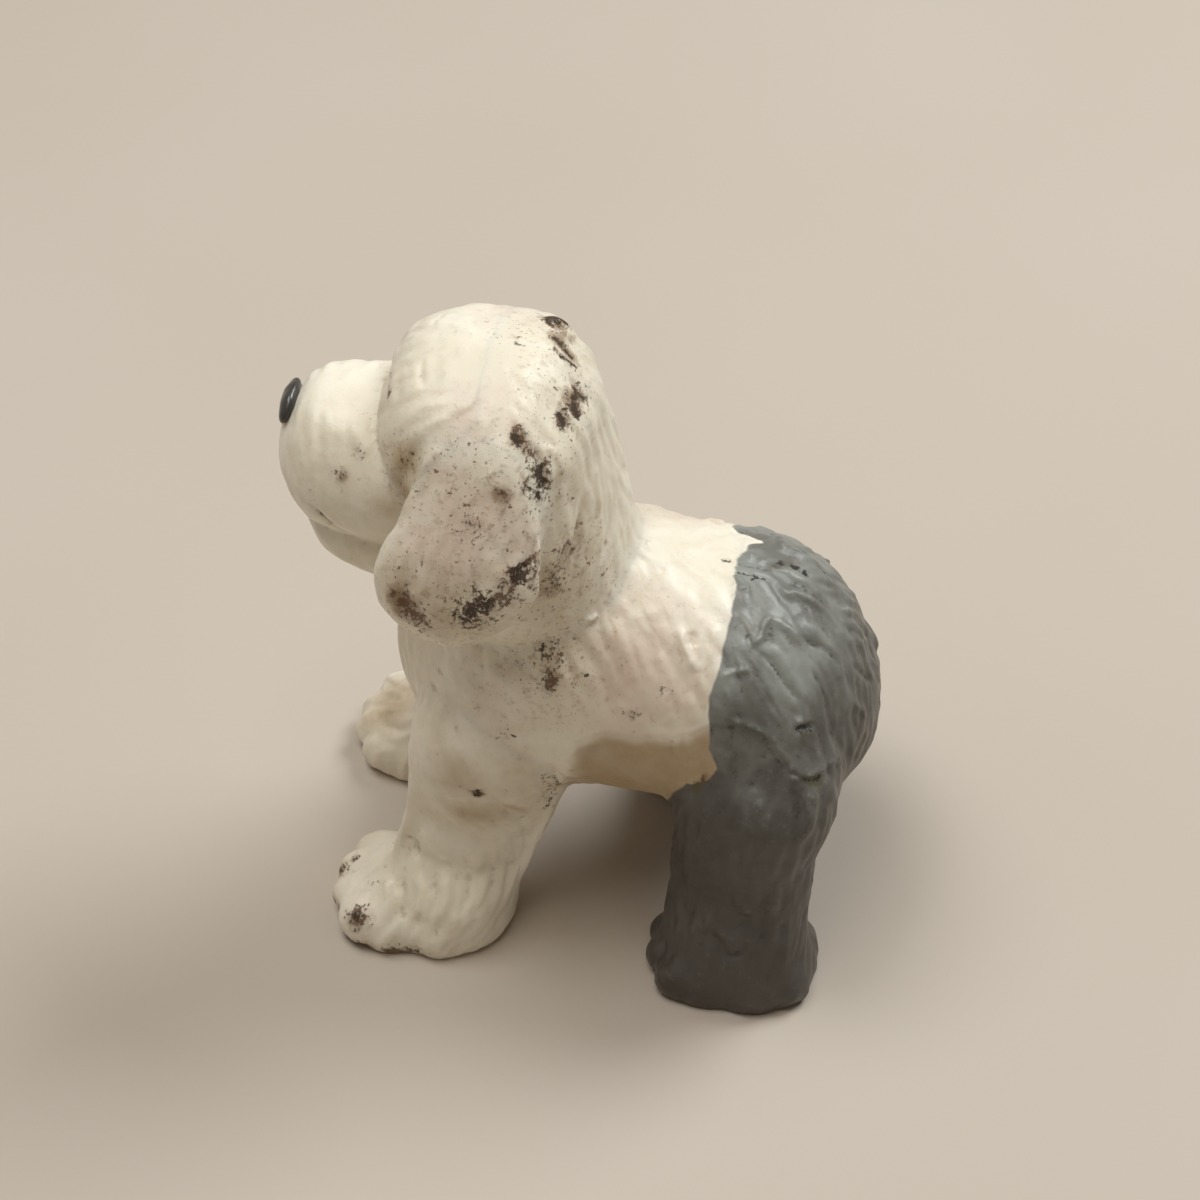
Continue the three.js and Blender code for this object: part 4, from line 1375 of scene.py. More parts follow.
SOOT = strokes("""
    0.5 1 -3 3.2 38.5 -2.5 3.8 38.2 -1.9 4.3 37.8 -1.2 4.2 37.4;
    0.2 0.9 -2.5 2.3 38.7 -1.8 2.1 38.3 -1.2 1.7 37.8 -0.4 1.1 37.3;
    0.16 0.8 -2.1 1.3 38.6 -1.4 0.9 38.2 -0.5 1 37.3;
    0.1 0.7 -4.2 0.7 39.2 -3.6 0.5 39.3 -3.1 0.5 39.2;
    0.32 1 -0.6 -0.8 37.4 -0.2 -0.5 37.1 0.4 0 36.1;
    0.27 1 -0.3 -0.5 37.2 -0.4 -1.3 37 0.2 -2.1 36.2;
    0.28 1 -1.1 -2.5 37.6 -0.7 -2.6 37.1 -0.5 -3.4 36.6;
    0.14 0.8 -0.9 -2.4 37.4 -0.5 -1.7 37.1;
    0.32 1 -3.1 -5.1 37.6 -2.8 -5 37.5 -2.5 -5.4 37.1;
    0.36 0.95 -1.7 -5.2 36.6 -1.4 -5.5 35.9 -1.2 -5.9 35.2 -0.9 -5.8 34.5;
    0.32 0.7 -2.4 -6.6 35.6 -1.7 -6.4 35.3 -1 -6.1 34.2;
    0.7 0.95 -2.2 -8.8 32 -1.9 -8.9 31.4 -2.3 -9.2 30.8;
    0.6 0.9 -5.4 -10 28 -4.6 -9.9 28.8 -3.6 -9.8 29.7 -2.9 -9.7 30;
    0.1 0.8 -1.2 -6.6 24.2 -1.2 -6.7 23.2 -1.2 -6.9 22.6;
    0.08 0.6 -1.8 -6.7 23 -1.6 -6.9 22.4 -1.6 -7.3 21.8;
    0.1 0.75 0.9 -6.8 22.2 1.2 -6.8 22.1 1.5 -6.8 22;
    0.17 1.05 -4.6 -9.5 14.2 -4.5 -9.5 13.8 -4.8 -9.6 13.2;
    0.07 0.55 -6.3 -9.5 14.1 -5 -9.5 13.9;
    0.12 0.85 -3 -8.2 18.4 -2.8 -8.2 18.2;
    0.11 0.8 -2.8 -8.3 18 -2.3 -8.3 17.9;
    0.12 0.9 -3.5 -8.3 17.7;
    0.1 0.7 -3 -8.3 18.6;
    0.35 1 -11.8 -10 2.4;
    0.22 0.9 -13.8 -6.4 2;
    0.12 0.7 -11.2 -8 3.7 -10.8 -8.4 3.4;
    0.15 0.6 -13 -5.9 2.8;
    0.22 0.85 10.9 1.3 24.6;
    0.3 1 11.7 1.3 24.2;
    0.24 0.9 12.3 1.3 23.9;
    0.1 0.62 7.5 0.4 25.1 8.5 0.5 25;
    0.09 0.62 8.1 -0.2 25 9.6 -0.4 24.8 10.6 -0.4 24.6;
    0.09 0.6 9.4 -0.8 24.9 10 -0.3 24.8;
    0.2 0.6 12.9 -6.7 19.6 13.5 -6.4 19.5 14 -5.9 19.3;
    0.2 0.6 13.4 -7.9 17.1 14.2 -7.7 16.9 14.8 -7.1 16.8;
""", both=False)
# Soil strokes are dirt and grime, except the thin line along the underside of the fringe's front edge and the
# patch in the cheek recess beside it, which are painted shade
SOIL_AND_SHADE = strokes("""
    0.8 0.72 -9.1 -9.2 29.9 -8.1 -9.7 28.8 -7.3 -9.8 28 -6.4 -9.9 27.4;
    0.75 0.72 -5.6 -10 27.8 -4.2 -9.9 29 -2.6 -9.5 30.4 -1.7 -8.8 32;
    0.5 0.6 -3.1 -5.1 37.6 -1.9 -5.3 36.6 -1.2 -5.9 35 -1.6 -6.6 34.4;
    0.5 0.42 -2.6 2.6 38.6 -1.4 1.6 38 -0.2 0.6 37;
    0.45 0.45 -1 -2.6 37.4 -0.2 -1.2 37 0.4 -0.1 36.1;
    0.5 0.72 -0.6 -6.9 22.6 -0.6 -7.3 21.7 -1 -7.7 20.7;
    0.7 0.45 -1.4 -6.6 24.4 -0.6 -6.7 23.4 0.4 -6.8 22.4;
    0.8 0.42 0.6 -5.2 32 0.4 -5.8 30.4 -0.4 -6.4 28.8 -0.8 -6.6 26.8;
    0.35 0.2 -8 -5.7 36.5 -8.3 -5.8 36 -8.6 -6 34.8;
    0.17 0.5 -10.6 -0.6 37.3 -10.3 -1.5 37.4 -10 -2.6 37.4 -9.9 -3.3 37.1;
    0.2 0.3 -14.2 -4.7 30.3 -13.4 -4.5 29 -12.2 -4 27.4;
    0.4 0.4 5 -6.7 21.6 6.2 -6.9 21.2;
    0.4 0.32 3 -7.3 20.4 4.6 -7.5 20;
    0.8 0.34 -4.6 -8.6 34;
    0.5 0.36 -3.1 -7.3 35.4;
    0.45 0.4 -11.6 -3.7 34;
    0.5 0.28 -12.8 -4.8 33;
    0.6 0.62 15.9 1.7 20;
    0.5 0.55 15.8 -0.2 20.1;
    0.7 0.62 16.5 -3.6 15.7;
""", both=False) + strokes("""
    0.55 0.85 -13.6 -7 1.3 -12.6 -9.2 0.9 -10 -10.2 0.5 -6.6 -10.2 0.5;
    0.6 0.34 -1.2 -8.2 15.4 -0.4 -7.8 13.4 -1 -7.6 10;
    0.35 0.5 8.6 -8.1 16.8 8 -8.3 15.9 7.2 -8.2 15.2;
""")
# Tan patches: mostly painted shade, in the crevice under the fringe, the recesses behind the muzzle, under the
# jaw, on the ears, necks, front legs and the far front paw, with real staining mixed in
TAN = strokes("""
    1 0.4 -10.4 -2.6 36.2;
    0.8 0.3 -10.6 -1.2 37;
    3.4 0.66 -13 6.6 3.2;
""", both=False) + strokes("""
    1.5 0.75 -8.6 -5.9 35.4;
    1.4 0.75 -8.8 -5.9 33.6;
    1.4 0.5 -9.6 -5.2 31.8;
    1.6 0.45 -9 -4.6 28;
    1.6 0.35 -6.4 -4.8 24.6;
    2.4 0.62 -4.8 -9.8 11.2;
    2.4 0.55 -5.6 -9 14.6;
    2.2 0.3 -7.4 -8 17.6;
    1.8 0.36 -7.2 -9.3 9.6;
    2.4 0.4 -2.2 -8.4 15.2;
    3.4 0.55 -5 -9.8 28.6;
    2 0.5 -8.4 -9.3 29.8;
    1.8 0.3 -3 -9.4 30.4;
    2.2 0.35 0.6 -5.2 29.4;
    3.2 0.42 -0.2 -6.2 28;
    2.6 0.36 -0.2 -6.4 23.4;
""")
ROSE = strokes("""
    5 0.8 4 -6 22;
    4.6 0.75 -5 -8.5 33;
    2.6 0.7 -5 -3.6 37.6;
    4 0.4 -3 -8 20;
    2.4 0.4 -9.5 -4.6 34;
""")
SPECKS = strokes("""
    4.5 0.8 -3 -7 35;
    3.6 1 -0.4 -6 28;
    3.4 0.9 -6.4 -9.6 28.4;
    2.6 0.8 -1 -1.4 37.4;
    2.2 0.9 -8.4 -5.8 34.6;
    2.6 0.9 -0.8 -7 22.2;
    2.4 0.7 -3 2 38.6;
""", both=False)


def linear(colour: Colour) -> tuple[float, float, float, float]:
    """Turns a screen colour of 0 to 255 into the renderer's colour."""
    shares = [value / 255 for value in colour]
    levels = [share / 12.92 if share < 0.04 else ((share + 0.055) / 1.055) ** 2.4 for share in shares]
    return (*levels, 1.0)


class FinishWork(NodeWork):
    """The nodes of one material, with lengths in millimetres."""

    def __init__(self, name: str) -> None:
        """Makes an empty material."""
        self.material = bpy.data.materials.new(name)
        self.material.use_nodes = True
        super().__init__(self.material.node_tree)
        self.tree.nodes.clear()
        place = self.add("ShaderNodeTexCoord").outputs["Object"]
        self.place = self.vectors("SCALE", place, scale=1 / MM)

    def mark(self, mark: Mark) -> Socket:
        """Reads one of the skin's marks."""
        return self.add("ShaderNodeAttribute", attribute_name=mark.value).outputs["Fac"]

    def noise(self, wave: float, detail: float = 2.0, rough: float = 0.5, shift: float = 0.0) -> Socket:
        """Adds a smooth random pattern of about 0 to 1.

        Args:
            wave: Length of its waves in millimetres.
            detail: How many finer levels it has.
            rough: How strong those are.
            shift: Moves it to another part of the pattern.

        Returns:
            Its number.
        """
        moved = self.vectors("ADD", self.place, (shift, -shift, 2 * shift))
        inputs = {"Vector": moved, "Scale": 1 / wave, "Detail": detail, "Roughness": rough}
        return self.add("ShaderNodeTexNoise", inputs).outputs[0]

    def step(self, value: Socket, low: float, high: float, start: float = 0.0, end: float = 1.0) -> Socket:
        """Rises smoothly from start to end while the value goes from low to high."""
        inputs = {"Value": value, "From Min": low, "From Max": high, "To Min": start, "To Max": end}
        return self.add("ShaderNodeMapRange", inputs, interpolation_type="SMOOTHSTEP").outputs["Result"]

    def mix(self, share: Socket, first: object, second: object) -> Socket:
        """Mixes two colours."""
        inputs = {0: share, 6: first, 7: second}
        return self.add("ShaderNodeMix", inputs, data_type="RGBA", clamp_factor=True).outputs[2]

    def laid(self, base: Socket, colour: Colour, cover: Socket, share: object = 1.0) -> Socket:
        """Lays a colour over another where it covers."""
        return self.mix(self.maths("MULTIPLY", cover, share), base, linear(colour))

    def swung(self, pattern: Socket, swing: float, base: object) -> Socket:
        """Moves a number up and down with a pattern of 0 to 1."""
        return self.maths("MULTIPLY_ADD", self.maths("SUBTRACT", pattern, 0.5), swing, base)

    def broken(self, mark: Socket, grain: Socket, reach: float, level: float, soft: float) -> Socket:
        """Breaks a mark up with a grain, so that it looks like dirt, also where the mark is painted shade.

        Args:
            mark: The mark's strength.
            grain: A pattern of 0 to 1.
            reach: How much of the grain the full mark covers.
            level: How high the grain has to be where there is hardly any mark.
            soft: Width of the edges.

        Returns:
            The dirt's cover.
        """
        moved = self.maths("MULTIPLY_ADD", mark, reach, grain)
        return self.maths("MULTIPLY", self.step(moved, level, level + soft), self.step(mark, 0.02, 0.16))

    def flecks(self, wave: float, size: float, share: float, shift: float) -> Socket:
        """Adds scattered round flecks.

        Args:
            wave: Distance between their places in millimetres.
            size: Their radius as a share of that distance.
            share: How many of the places have one.
            shift: Moves them to another part of the pattern.

        Returns:
            Their cover.
        """
        moved = self.vectors("ADD", self.place, (shift, shift, -shift))
        bent = self.add("ShaderNodeTexNoise", {"Vector": moved, "Scale": 3.0 / wave}).outputs[1]
        where = self.vectors("ADD", moved, self.vectors("SCALE", bent, scale=0.35 * wave))
        cell = self.add("ShaderNodeTexVoronoi", {"Vector": where, "Scale": 1 / wave})
        parts = self.add("ShaderNodeSeparateColor", {0: cell.outputs["Color"]}).outputs
        chosen = self.maths("LESS_THAN", parts[0], share)
        radius = self.maths("MULTIPLY_ADD", parts[1], size, 0.35 * size)
        edge = self.maths("SUBTRACT", radius, cell.outputs["Distance"])
        return self.maths("MULTIPLY", chosen, self.step(edge, 0.0, 0.3 * size))

    def bump(self, height: Socket, depth: float) -> Socket:
        """Turns a pattern into fine relief of a depth in millimetres."""
        inputs = {"Strength": 1.0, "Distance": depth * MM, "Height": height}
        return self.add("ShaderNodeBump", inputs).outputs["Normal"]

    def surface(self, inputs: dict) -> Socket:
        """Adds a surface shader with the given inputs."""
        return self.add("ShaderNodeBsdfPrincipled", inputs).outputs["BSDF"]

    def done(self, shader: Socket) -> bpy.types.Material:
        """Joins the surface to the output and gives the material."""
        self.add("ShaderNodeOutputMaterial", {"Surface": shader})
        return self.material


@dataclass(frozen=True)
class PaleVinyl:
    """Cream moulded vinyl, worn and soiled, with painted shade in its hollows, recesses and undersides."""

    cream: Colour = (244, 238, 222)
    ivory: Colour = (236, 228, 209)
    rose: Colour = (228, 210, 194)
    # Tan for the tan mark: part stain, part painted shade of undersides, recesses, ears, necks and legs
    tan: Colour = (178, 154, 118)
    # Brown laid in the hollows of the relief: part grime, part painted shade
    crease: Colour = (148, 122, 88)
    film: Colour = (130, 98, 62)
    # Brown of the soil mark and of the flecks: mostly dirt, and painted shade under the fringe's edge and in
    # the cheek recess
    soil: Colour = (98, 66, 35)
    soot: Colour = (50, 36, 22)
    roughness: float = 0.44
    gloss: float = 0.08
    softness: float = 0.16
    softness_depth: float = 1.1

    def shader(self, work: FinishWork) -> Socket:
        """Adds the vinyl's nodes.

        Args:
            work: The material that they go in.

        Returns:
            The surface.
        """
        broad, mid = work.noise(6.5, 2.0), work.noise(2.2, 3.0, 0.55, 11.0)
        fine, grain = work.noise(0.55, 4.0, 0.65, 5.0), work.noise(0.36, 6.0, 0.78, 9.0)
        tan, specks, soil = work.mark(Mark.TAN), work.mark(Mark.SPECKS), work.mark(Mark.SOIL_AND_SHADE)
        base = work.mix(work.step(broad, 0.4, 0.62), linear(self.cream), linear(self.ivory))
        flush = work.step(work.swung(mid, 1.1, work.mark(Mark.ROSE)), 0.15, 1.0)
        base = work.laid(base, self.rose, flush)
        # Tan patches: part stain, part painted shade of undersides, recesses, ears, necks and legs
        tan_and_shade_cover = work.step(work.swung(mid, 0.6, tan), 0.0, 1.0)
        base = work.laid(base, self.tan, tan_and_shade_cover, work.step(tan, 0.0, 0.1))
        # Brown in the hollows of the relief: part grime, part painted shade
        deep = work.broken(work.mark(Mark.HOLLOW_GRIME_AND_SHADE), fine, 0.3, 0.58, 0.4)
        base = work.laid(base, self.crease, deep, 0.62)
        faint = work.maths("MULTIPLY", work.step(fine, 0.5, 0.72), work.maths("ADD", specks, 0.12))
        base = work.laid(base, self.film, faint, 0.62)
        base = work.laid(base, self.film, work.broken(soil, mid, 0.3, 0.5, 0.35), 0.8)
        # Dark brown where the soil mark lies: dirt, and painted shade under the fringe's edge and in the cheek
        # recess beside it
        dirt = work.broken(soil, grain, 0.24, 0.61, 0.06)
        base = work.laid(base, self.soil, dirt, 0.88)
        chance = work.step(work.swung(mid, 1.2, work.maths("ADD", specks, 0.05)), 0.1, 0.5)
        spots = [(work.flecks(0.9, 0.1, 0.3, 17.0), 0.8)]
        for wave, level, shift, share in ((0.22, 0.635, 29.0, 0.55), (0.5, 0.66, 3.0, 0.8)):
            spots.append((work.step(work.noise(wave, 2.0, 0.6, shift), level, level + 0.05), share))
        for spot, share in spots:
            base = work.laid(base, self.soil, work.maths("MULTIPLY", spot, chance), share)
        black = work.broken(work.mark(Mark.SOOT), grain, 0.28, 0.63, 0.07)
        base = work.laid(base, self.soot, black, 0.9)
        grime = work.maths("MAXIMUM", dirt, black)
        rough = work.maths("MULTIPLY_ADD", grime, 0.3, work.swung(fine, 0.22, self.roughness))
        height = work.maths("MULTIPLY_ADD", grime, 0.8, work.maths("MULTIPLY_ADD", grain, 0.35, fine))
        return work.surface({
            "Base Color": base, "Roughness": rough, "Normal": work.bump(height, 0.035),
            "Coat Weight": self.gloss, "Coat Roughness": 0.16, "Specular IOR Level": 0.5,
            "Subsurface Weight": self.softness, "Subsurface Scale": self.softness_depth * MM,
            "Subsurface Radius": (1.0, 0.62, 0.4),
        })


@dataclass(frozen=True)
class GreyPaint:
    """Grey paint over the vinyl, glossier, with its edges rubbed pale, darker towards the bottom as painted
    shade, and darkened in its hollows as part grime, part painted shade.
    """

    grey: Colour = (106, 107, 102)
    pale_grey: Colour = (144, 148, 143)
    # Dark brown-grey laid towards the bottom: painted shade
    low: Colour = (58, 51, 45)
    # Near-black for the hollows: part grime, part painted shade
    hollow: Colour = (44, 40, 36)
    crest: Colour = (142, 144, 140)
    olive: Colour = (80, 74, 46)
    soot: Colour = (24, 23, 22)
    roughness: float = 0.44
    gloss: float = 0.12
    # Heights in millimetres where the painted shade of the lower parts starts and where it is full
    low_from: float = 24.0
    low_to: float = 13.0

    def shader(self, work: FinishWork) -> Socket:
        """Adds the paint's nodes.

        Args:
            work: The material that they go in.

        Returns:
            The surface.
        """
        broad, mid = work.noise(3.4, 3.0, 0.5, 31.0), work.noise(1.1, 3.0, 0.6, 37.0)
        fine, grain = work.noise(0.4, 4.0, 0.65, 41.0), work.noise(0.36, 6.0, 0.78, 43.0)
        base = work.mix(work.step(broad, 0.38, 0.62), linear(self.grey), linear(self.pale_grey))
        height = work.add("ShaderNodeSeparateXYZ", {0: work.place}).outputs[2]
        # Painted shade: the grey darkens towards the bottom, fully below 13 mm
        fall = work.step(work.swung(mid, 5.0, height), self.low_to, self.low_from, 0.9, 0.0)
        base = work.laid(base, self.low, fall)
        rubbed = work.broken(work.mark(Mark.CREST), fine, 0.25, 0.6, 0.25)
        base = work.laid(base, self.crest, rubbed, work.step(height, 12.0, 20.0, 0.15, 0.6))
        # Darker in the hollows: part grime, part painted shade
        base = work.laid(base, self.hollow, work.broken(work.mark(Mark.HOLLOW_GRIME_AND_SHADE), fine, 0.35, 0.56, 0.3), 0.85)
        moss = work.broken(work.mark(Mark.SOIL_AND_SHADE), mid, 0.3, 0.55, 0.2)
        base = work.laid(base, self.olive, moss, 0.75)
        black = work.broken(work.mark(Mark.SOOT), grain, 0.32, 0.62, 0.05)
        base = work.laid(base, self.soot, black)
        rough = work.swung(mid, 0.3, self.roughness)
        rough = work.maths("MULTIPLY_ADD", work.maths("MAXIMUM", black, moss), 0.25, rough)
        relief = work.maths("MULTIPLY_ADD", grain, 0.3, fine)
        return work.surface({
            "Base Color": base, "Roughness": rough, "Normal": work.bump(relief, 0.03),
            "Coat Weight": self.gloss, "Coat Roughness": 0.14, "Specular IOR Level": 0.5,
        })


@dataclass(frozen=True)
class PaintedSkin:
    """The whole skin's finish: grey paint behind the paint line, bare cream vinyl in front of it."""

    pale: PaleVinyl = PaleVinyl()
    paint: GreyPaint = GreyPaint()
    edge: float = 0.09
    ragged: float = 0.14

    def material(self) -> bpy.types.Material:
        """Makes the material."""
        work = FinishWork("sheepdog skin")
        pale, paint = self.pale.shader(work), self.paint.shader(work)
        torn = work.maths("SUBTRACT", work.noise(0.5, 3.0, 0.6, 53.0), 0.5)
        edge = work.maths("MULTIPLY_ADD", torn, self.ragged, work.mark(Mark.PAINT))
        share = work.step(edge, -self.edge, self.edge)
        return work.done(work.add("ShaderNodeMixShader", {0: share, 1: pale, 2: paint}).outputs[0])


@dataclass(frozen=True)
class GlossyBlack:
    """Glossy dark paint of the nose, or of an eye with a dark iris."""

    name: str
    dark: Colour = (24, 23, 22)
    worn: Colour = (62, 60, 56)
    roughness: float = 0.2

    def material(self) -> bpy.types.Material:
        """Makes the material."""
        work = FinishWork(self.name)
        mid, fine = work.noise(0.8, 3.0, 0.6, 61.0), work.noise(0.16, 4.0, 0.7, 67.0)
        base = work.mix(work.step(mid, 0.5, 0.75), linear(self.dark), linear(self.worn))
        rough = work.maths("MULTIPLY_ADD", fine, 0.2, self.roughness)
        return work.done(work.surface({
            "Base Color": base, "Roughness": rough, "Normal": work.bump(fine, 0.02),
            "Coat Weight": 0.5, "Coat Roughness": 0.08,
        }))


@dataclass(frozen=True)
class PaleFloor:
    """A plain pale surface with the faintest unevenness."""

    shade: Colour = (198, 187, 174)
    shade_lit: Colour = (208, 199, 188)

    def material(self) -> bpy.types.Material:
        """Makes the material."""
        work = FinishWork("pale floor")
        base = work.mix(work.noise(60.0, 2.0), linear(self.shade), linear(self.shade_lit))
        return work.done(work.surface({"Base Color": base, "Roughness": 0.7, "Specular IOR Level": 0.25}))


@dataclass(frozen=True)
class Grain:
    """Lengths of the faces in millimetres, before and after the locks are added."""

    body: float = 0.25
    skin: float = 0.11


class Coat:
    """The moulded skin: forms fused into one, with the hair sculpted over it."""

    fore_coat = HairSizes(1.0, 4.2, 0.56, 0.8, 0.5, 1.2, 3)
    rump_coat = HairSizes(1.3, 7.0, 0.74, 0.9, 0.5, 1.0, 5)
    fine_coat = HairSizes(0.6, 2.6, 0.28, 0.5, 0.4, 1.6, 7)
    muzzle_coat = HairSizes(0.62, 2.8, 0.4, 0.78, 0.5, 1.0, 11)
    jaw_coat = replace(muzzle_coat, seed=13)
    fine_share = 0.6
    blending = 9.0
    kept_edge = (0.3, 1.3)
    furrow_depth = 0.55
    furrow_width = 0.45
    socket_depth = 0.45
    socket_width = 1.25
    relief_scale = 0.12
    broad_soot = 0.14
    widest = 11.2
    drawn_in = 0.3

    def __init__(self, trunk: Trunk, head: Head, legs: list[Leg], quick: bool) -> None:
        """Takes the sub-assemblies whose skins are fused."""
        self.trunk, self.head, self.legs = trunk, head, legs
        self.grain = Grain(0.35, 0.2) if quick else Grain()
        self.hair = HairTree()

    def body_shells(self) -> dict[str, list[Shell]]:
        """Lists the shells that are blended into one body, by the form that they belong to."""
        head = self.head
        forms = {
            "trunk": self.trunk.form(), "skull": head.skull(), "fringe": head.fringe(),
            "left_ear": head.ear(Side.LEFT), "right_ear": head.ear(Side.RIGHT),
        }
        shells = {name: [form.shell()] for name, form in forms.items()}
        for leg in self.legs:
            shells[leg.node] = [leg.form().shell(), *leg.paw()]
        return shells

    def build(self) -> tuple[Shell, Array, list[str]]:
        """Makes the skin.

        Returns:
            The skin, the number of the form that each point belongs to, and the forms' names.
        """
        groups = self.body_shells()
        names = [*groups, "muzzle", "jaw"]
        body = fused(list(chain.from_iterable(groups.values())), self.grain.body)
        reach = {name: reach_of(joined(shells).tree(), body.points) for name, shells in groups.items()}
        owner = np.argmin(np.stack(list(reach.values())), axis=0)
        sides = Sides(body)
        self.blend_forms(body, sides, reach)
        flow, cover, scale, rump = self.lie_of_hair(body, sides, owner, names)
        coats = ((self.fore_coat, 1 - rump), (self.rump_coat, rump), (self.fine_coat, self.fine_share))
        locks = [self.hair.grow(body, flow, cover * share, scale, sizes) for sizes, share in coats]
        muzzle, jaw = self.face()
        locks += [self.face_hair(muzzle, self.muzzle_coat), self.face_hair(jaw, self.jaw_coat)]
        locks += [shell for tuft in TUFTS for shell in tuft.shells()]
        for lock in locks:
            lock.rest_on_floor()
        skin = fused([body, muzzle, jaw, *locks], self.grain.skin)
        log.info("skin: %d points", len(skin.points))
        tree = joined([body, muzzle, jaw]).tree()
        face_owner = np.concatenate((
            owner[body.faces[:, 0]],
            np.full(len(muzzle.faces), names.index("muzzle")),
            np.full(len(jaw.faces), names.index("jaw")),
        ))
        owner = face_owner[np.array([tree.find_nearest(point)[2] for point in skin.points.tolist()])]
        self.sculpt(skin, owner, names)
        return skin, owner, names

    def blend_forms(self, body: Shell, sides: Sides, reach: dict[str, Array]) -> None:
        """Smooths the body where its forms meet, but keeps the edges of the ears and of the fringe.

        Args:
            body: The fused body.
            sides: Its neighbours.
            reach: Distance of its points from each form.
        """
        x, y, z = body.points.T
        face_x = self.head.face_x
        ear_top = 33.0 + 3.6 * (1 - ramp(x, -7.6, -6.0))
        ears = 1 - ramp(np.minimum(reach["left_ear"], reach["right_ear"]), *self.kept_edge)
        ears = ears * (1 - ramp(z - ear_top, 0.0, 2.0)) * (1 - 0.85 * ramp(x, -3.6, -1.6) * ramp(z, 28.5, 31.0))
        fringe = 1 - ramp(reach["fringe"], *self.kept_edge)
        fringe = fringe * (1 - ramp(x, face_x + 1.5, face_x + 3.5)) * ramp(np.abs(y - 0.4), 0.6, 1.8)
        loose = (1 - np.maximum(ears, fringe)) * (0.3 + 0.7 * ramp(z, 3.0, 7.0))
        body.points = sides.relaxed(body.points, int(self.blending / self.grain.body), 0.5 * loose + 0.04)
        body.swell(0.1 * ripple(body.points, 5.0, 4))
        body.rest_on_floor()

    def face_hair(self, shell: Shell, sizes: HairSizes) -> Shell:
        """Grows the hair of the muzzle or the jaw, with none on the tip around the nose."""
        head, ones = self.head, np.ones(len(shell.points))
        lie = unit(0.8 * np.sign(shell.points[:, 1])[:, None] * ACROSS + np.array((0.25, 0, -1.0)))
        nose = np.array((head.tip_x, 0, head.muzzle_z + 2.3))
        cover = 1 - np.exp(-((shell.points - nose) ** 2).sum(1) / 6)
        return self.hair.grow(shell, lie, cover, ones, sizes)

    def sculpt(self, skin: Shell, owner: Array, names: list[str]) -> None:
        """Smooths the fused skin and presses hems, ankles, creases, ridges and eye hollows into it.

        Args:
            skin: The fused skin.
            owner: Form of each point.
            names: Names of the forms.
        """
        sides = Sides(skin)
        x, y, z = skin.points.T
        crisp = ramp(x, 7.5, 9.5) * ramp(z, 15.0, 18.0)
        crown = ramp(z, 32.0, 34.0) * ramp(x, -9.5, -8.0)
        valley = (1 - ramp(np.abs(x + 10.0), 1.0, 2.2)) * ramp(np.abs(y), 3.2, 4.4) * ramp(z, 28.0, 30.0)
        for rounds, share in ((5, 0.5), (5, 0.5 * (1 - 0.7 * crisp)), (4, 0.5 * crown), (14, 0.5 * valley)):
            skin.points = sides.relaxed(skin.points, rounds, share)
        skin.swell(Hem().raised(skin.points))
        for word, ankle in (("front", Ankle(1.7, 0.25)), ("rear", Ankle(0.9, 0.1))):
            mine = np.isin(owner, [number for number, name in enumerate(names) if word in name])
            skin.points[:, 1] += np.sign(skin.points[:, 1]) * ankle.shifted(skin.points) * mine
        tree = skin.tree()
        relief = (*RUMP_RELIEF, *LEG_RELIEF, *FLANK_RELIEF, *HEAD_RELIEF)
        skin.swell(sum(stroke.pressed(skin.points, tree) for stroke in relief))
        self.hollow_eyes(skin)
        skin.points = sides.relaxed(skin.points, 2, 0.4)
        beyond = np.maximum(np.abs(skin.points[:, 1]) - self.widest, 0.0)
        skin.points[:, 1] -= np.sign(skin.points[:, 1]) * self.drawn_in * beyond
        skin.rest_on_floor()

    def hollow_eyes(self, skin: Shell) -> None:
        """Presses a socket into the skin around each eye."""
        depth = np.zeros(len(skin.points))
        for node in ("left_eye", "right_eye"):
            gap = np.linalg.norm(skin.points - sum(box_of(node)) / 2, axis=1)
            depth += self.socket_depth * np.exp(-((gap / self.socket_width) ** 2))
        skin.swell(-depth)

    def marks(self, skin: Shell, owner: Array, names: list[str]) -> dict[Mark, Array]:
        """Works out the numbers that the finish reads.

        Args:
            skin: The finished skin.
            owner: Form of each point.
            names: Names of the forms.

        Returns:
            One number for each point and mark.
        """
        sides, tree, normals = Sides(skin), skin.tree(), skin.normals()
        x, z = skin.points[:, 0], skin.points[:, 2]
        smooth = sides.relaxed(skin.points, 34, 0.6)
        swell = sides.relaxed(((skin.points - smooth) * normals).sum(axis=1), 2, 0.5)
        rear_leg = np.isin(owner, [number for number, name in enumerate(names) if "rear" in name])
        found = {
            Mark.PAINT: PaintLine().past(skin.points, rear_leg),
            # Depth of the hollows, which the finishes darken as part grime, part painted shade
            Mark.HOLLOW_GRIME_AND_SHADE: np.clip(-swell / self.relief_scale, 0, 1.5),
            Mark.CREST: np.clip(swell / self.relief_scale, 0, 1.5),
        }
        # Stains, with painted shade among the tan and soil strokes
        stains_and_shade = {Mark.SOIL_AND_SHADE: SOIL_AND_SHADE, Mark.SOOT: SOOT, Mark.TAN: TAN, Mark.ROSE: ROSE, Mark.SPECKS: SPECKS}
        stains_and_shade[Mark.SOIL_AND_SHADE] += tuple(
            replace(broad, width=2.2 * broad.width, strength=0.8 * broad.strength)
            for broad in SOOT
            if broad.width > self.broad_soot
        )
        for mark, rows in stains_and_shade.items():
            found[mark] = np.zeros(len(skin.points))
            for stroke in rows:
                found[mark] = np.maximum(found[mark], stroke.pressed(skin.points, tree))
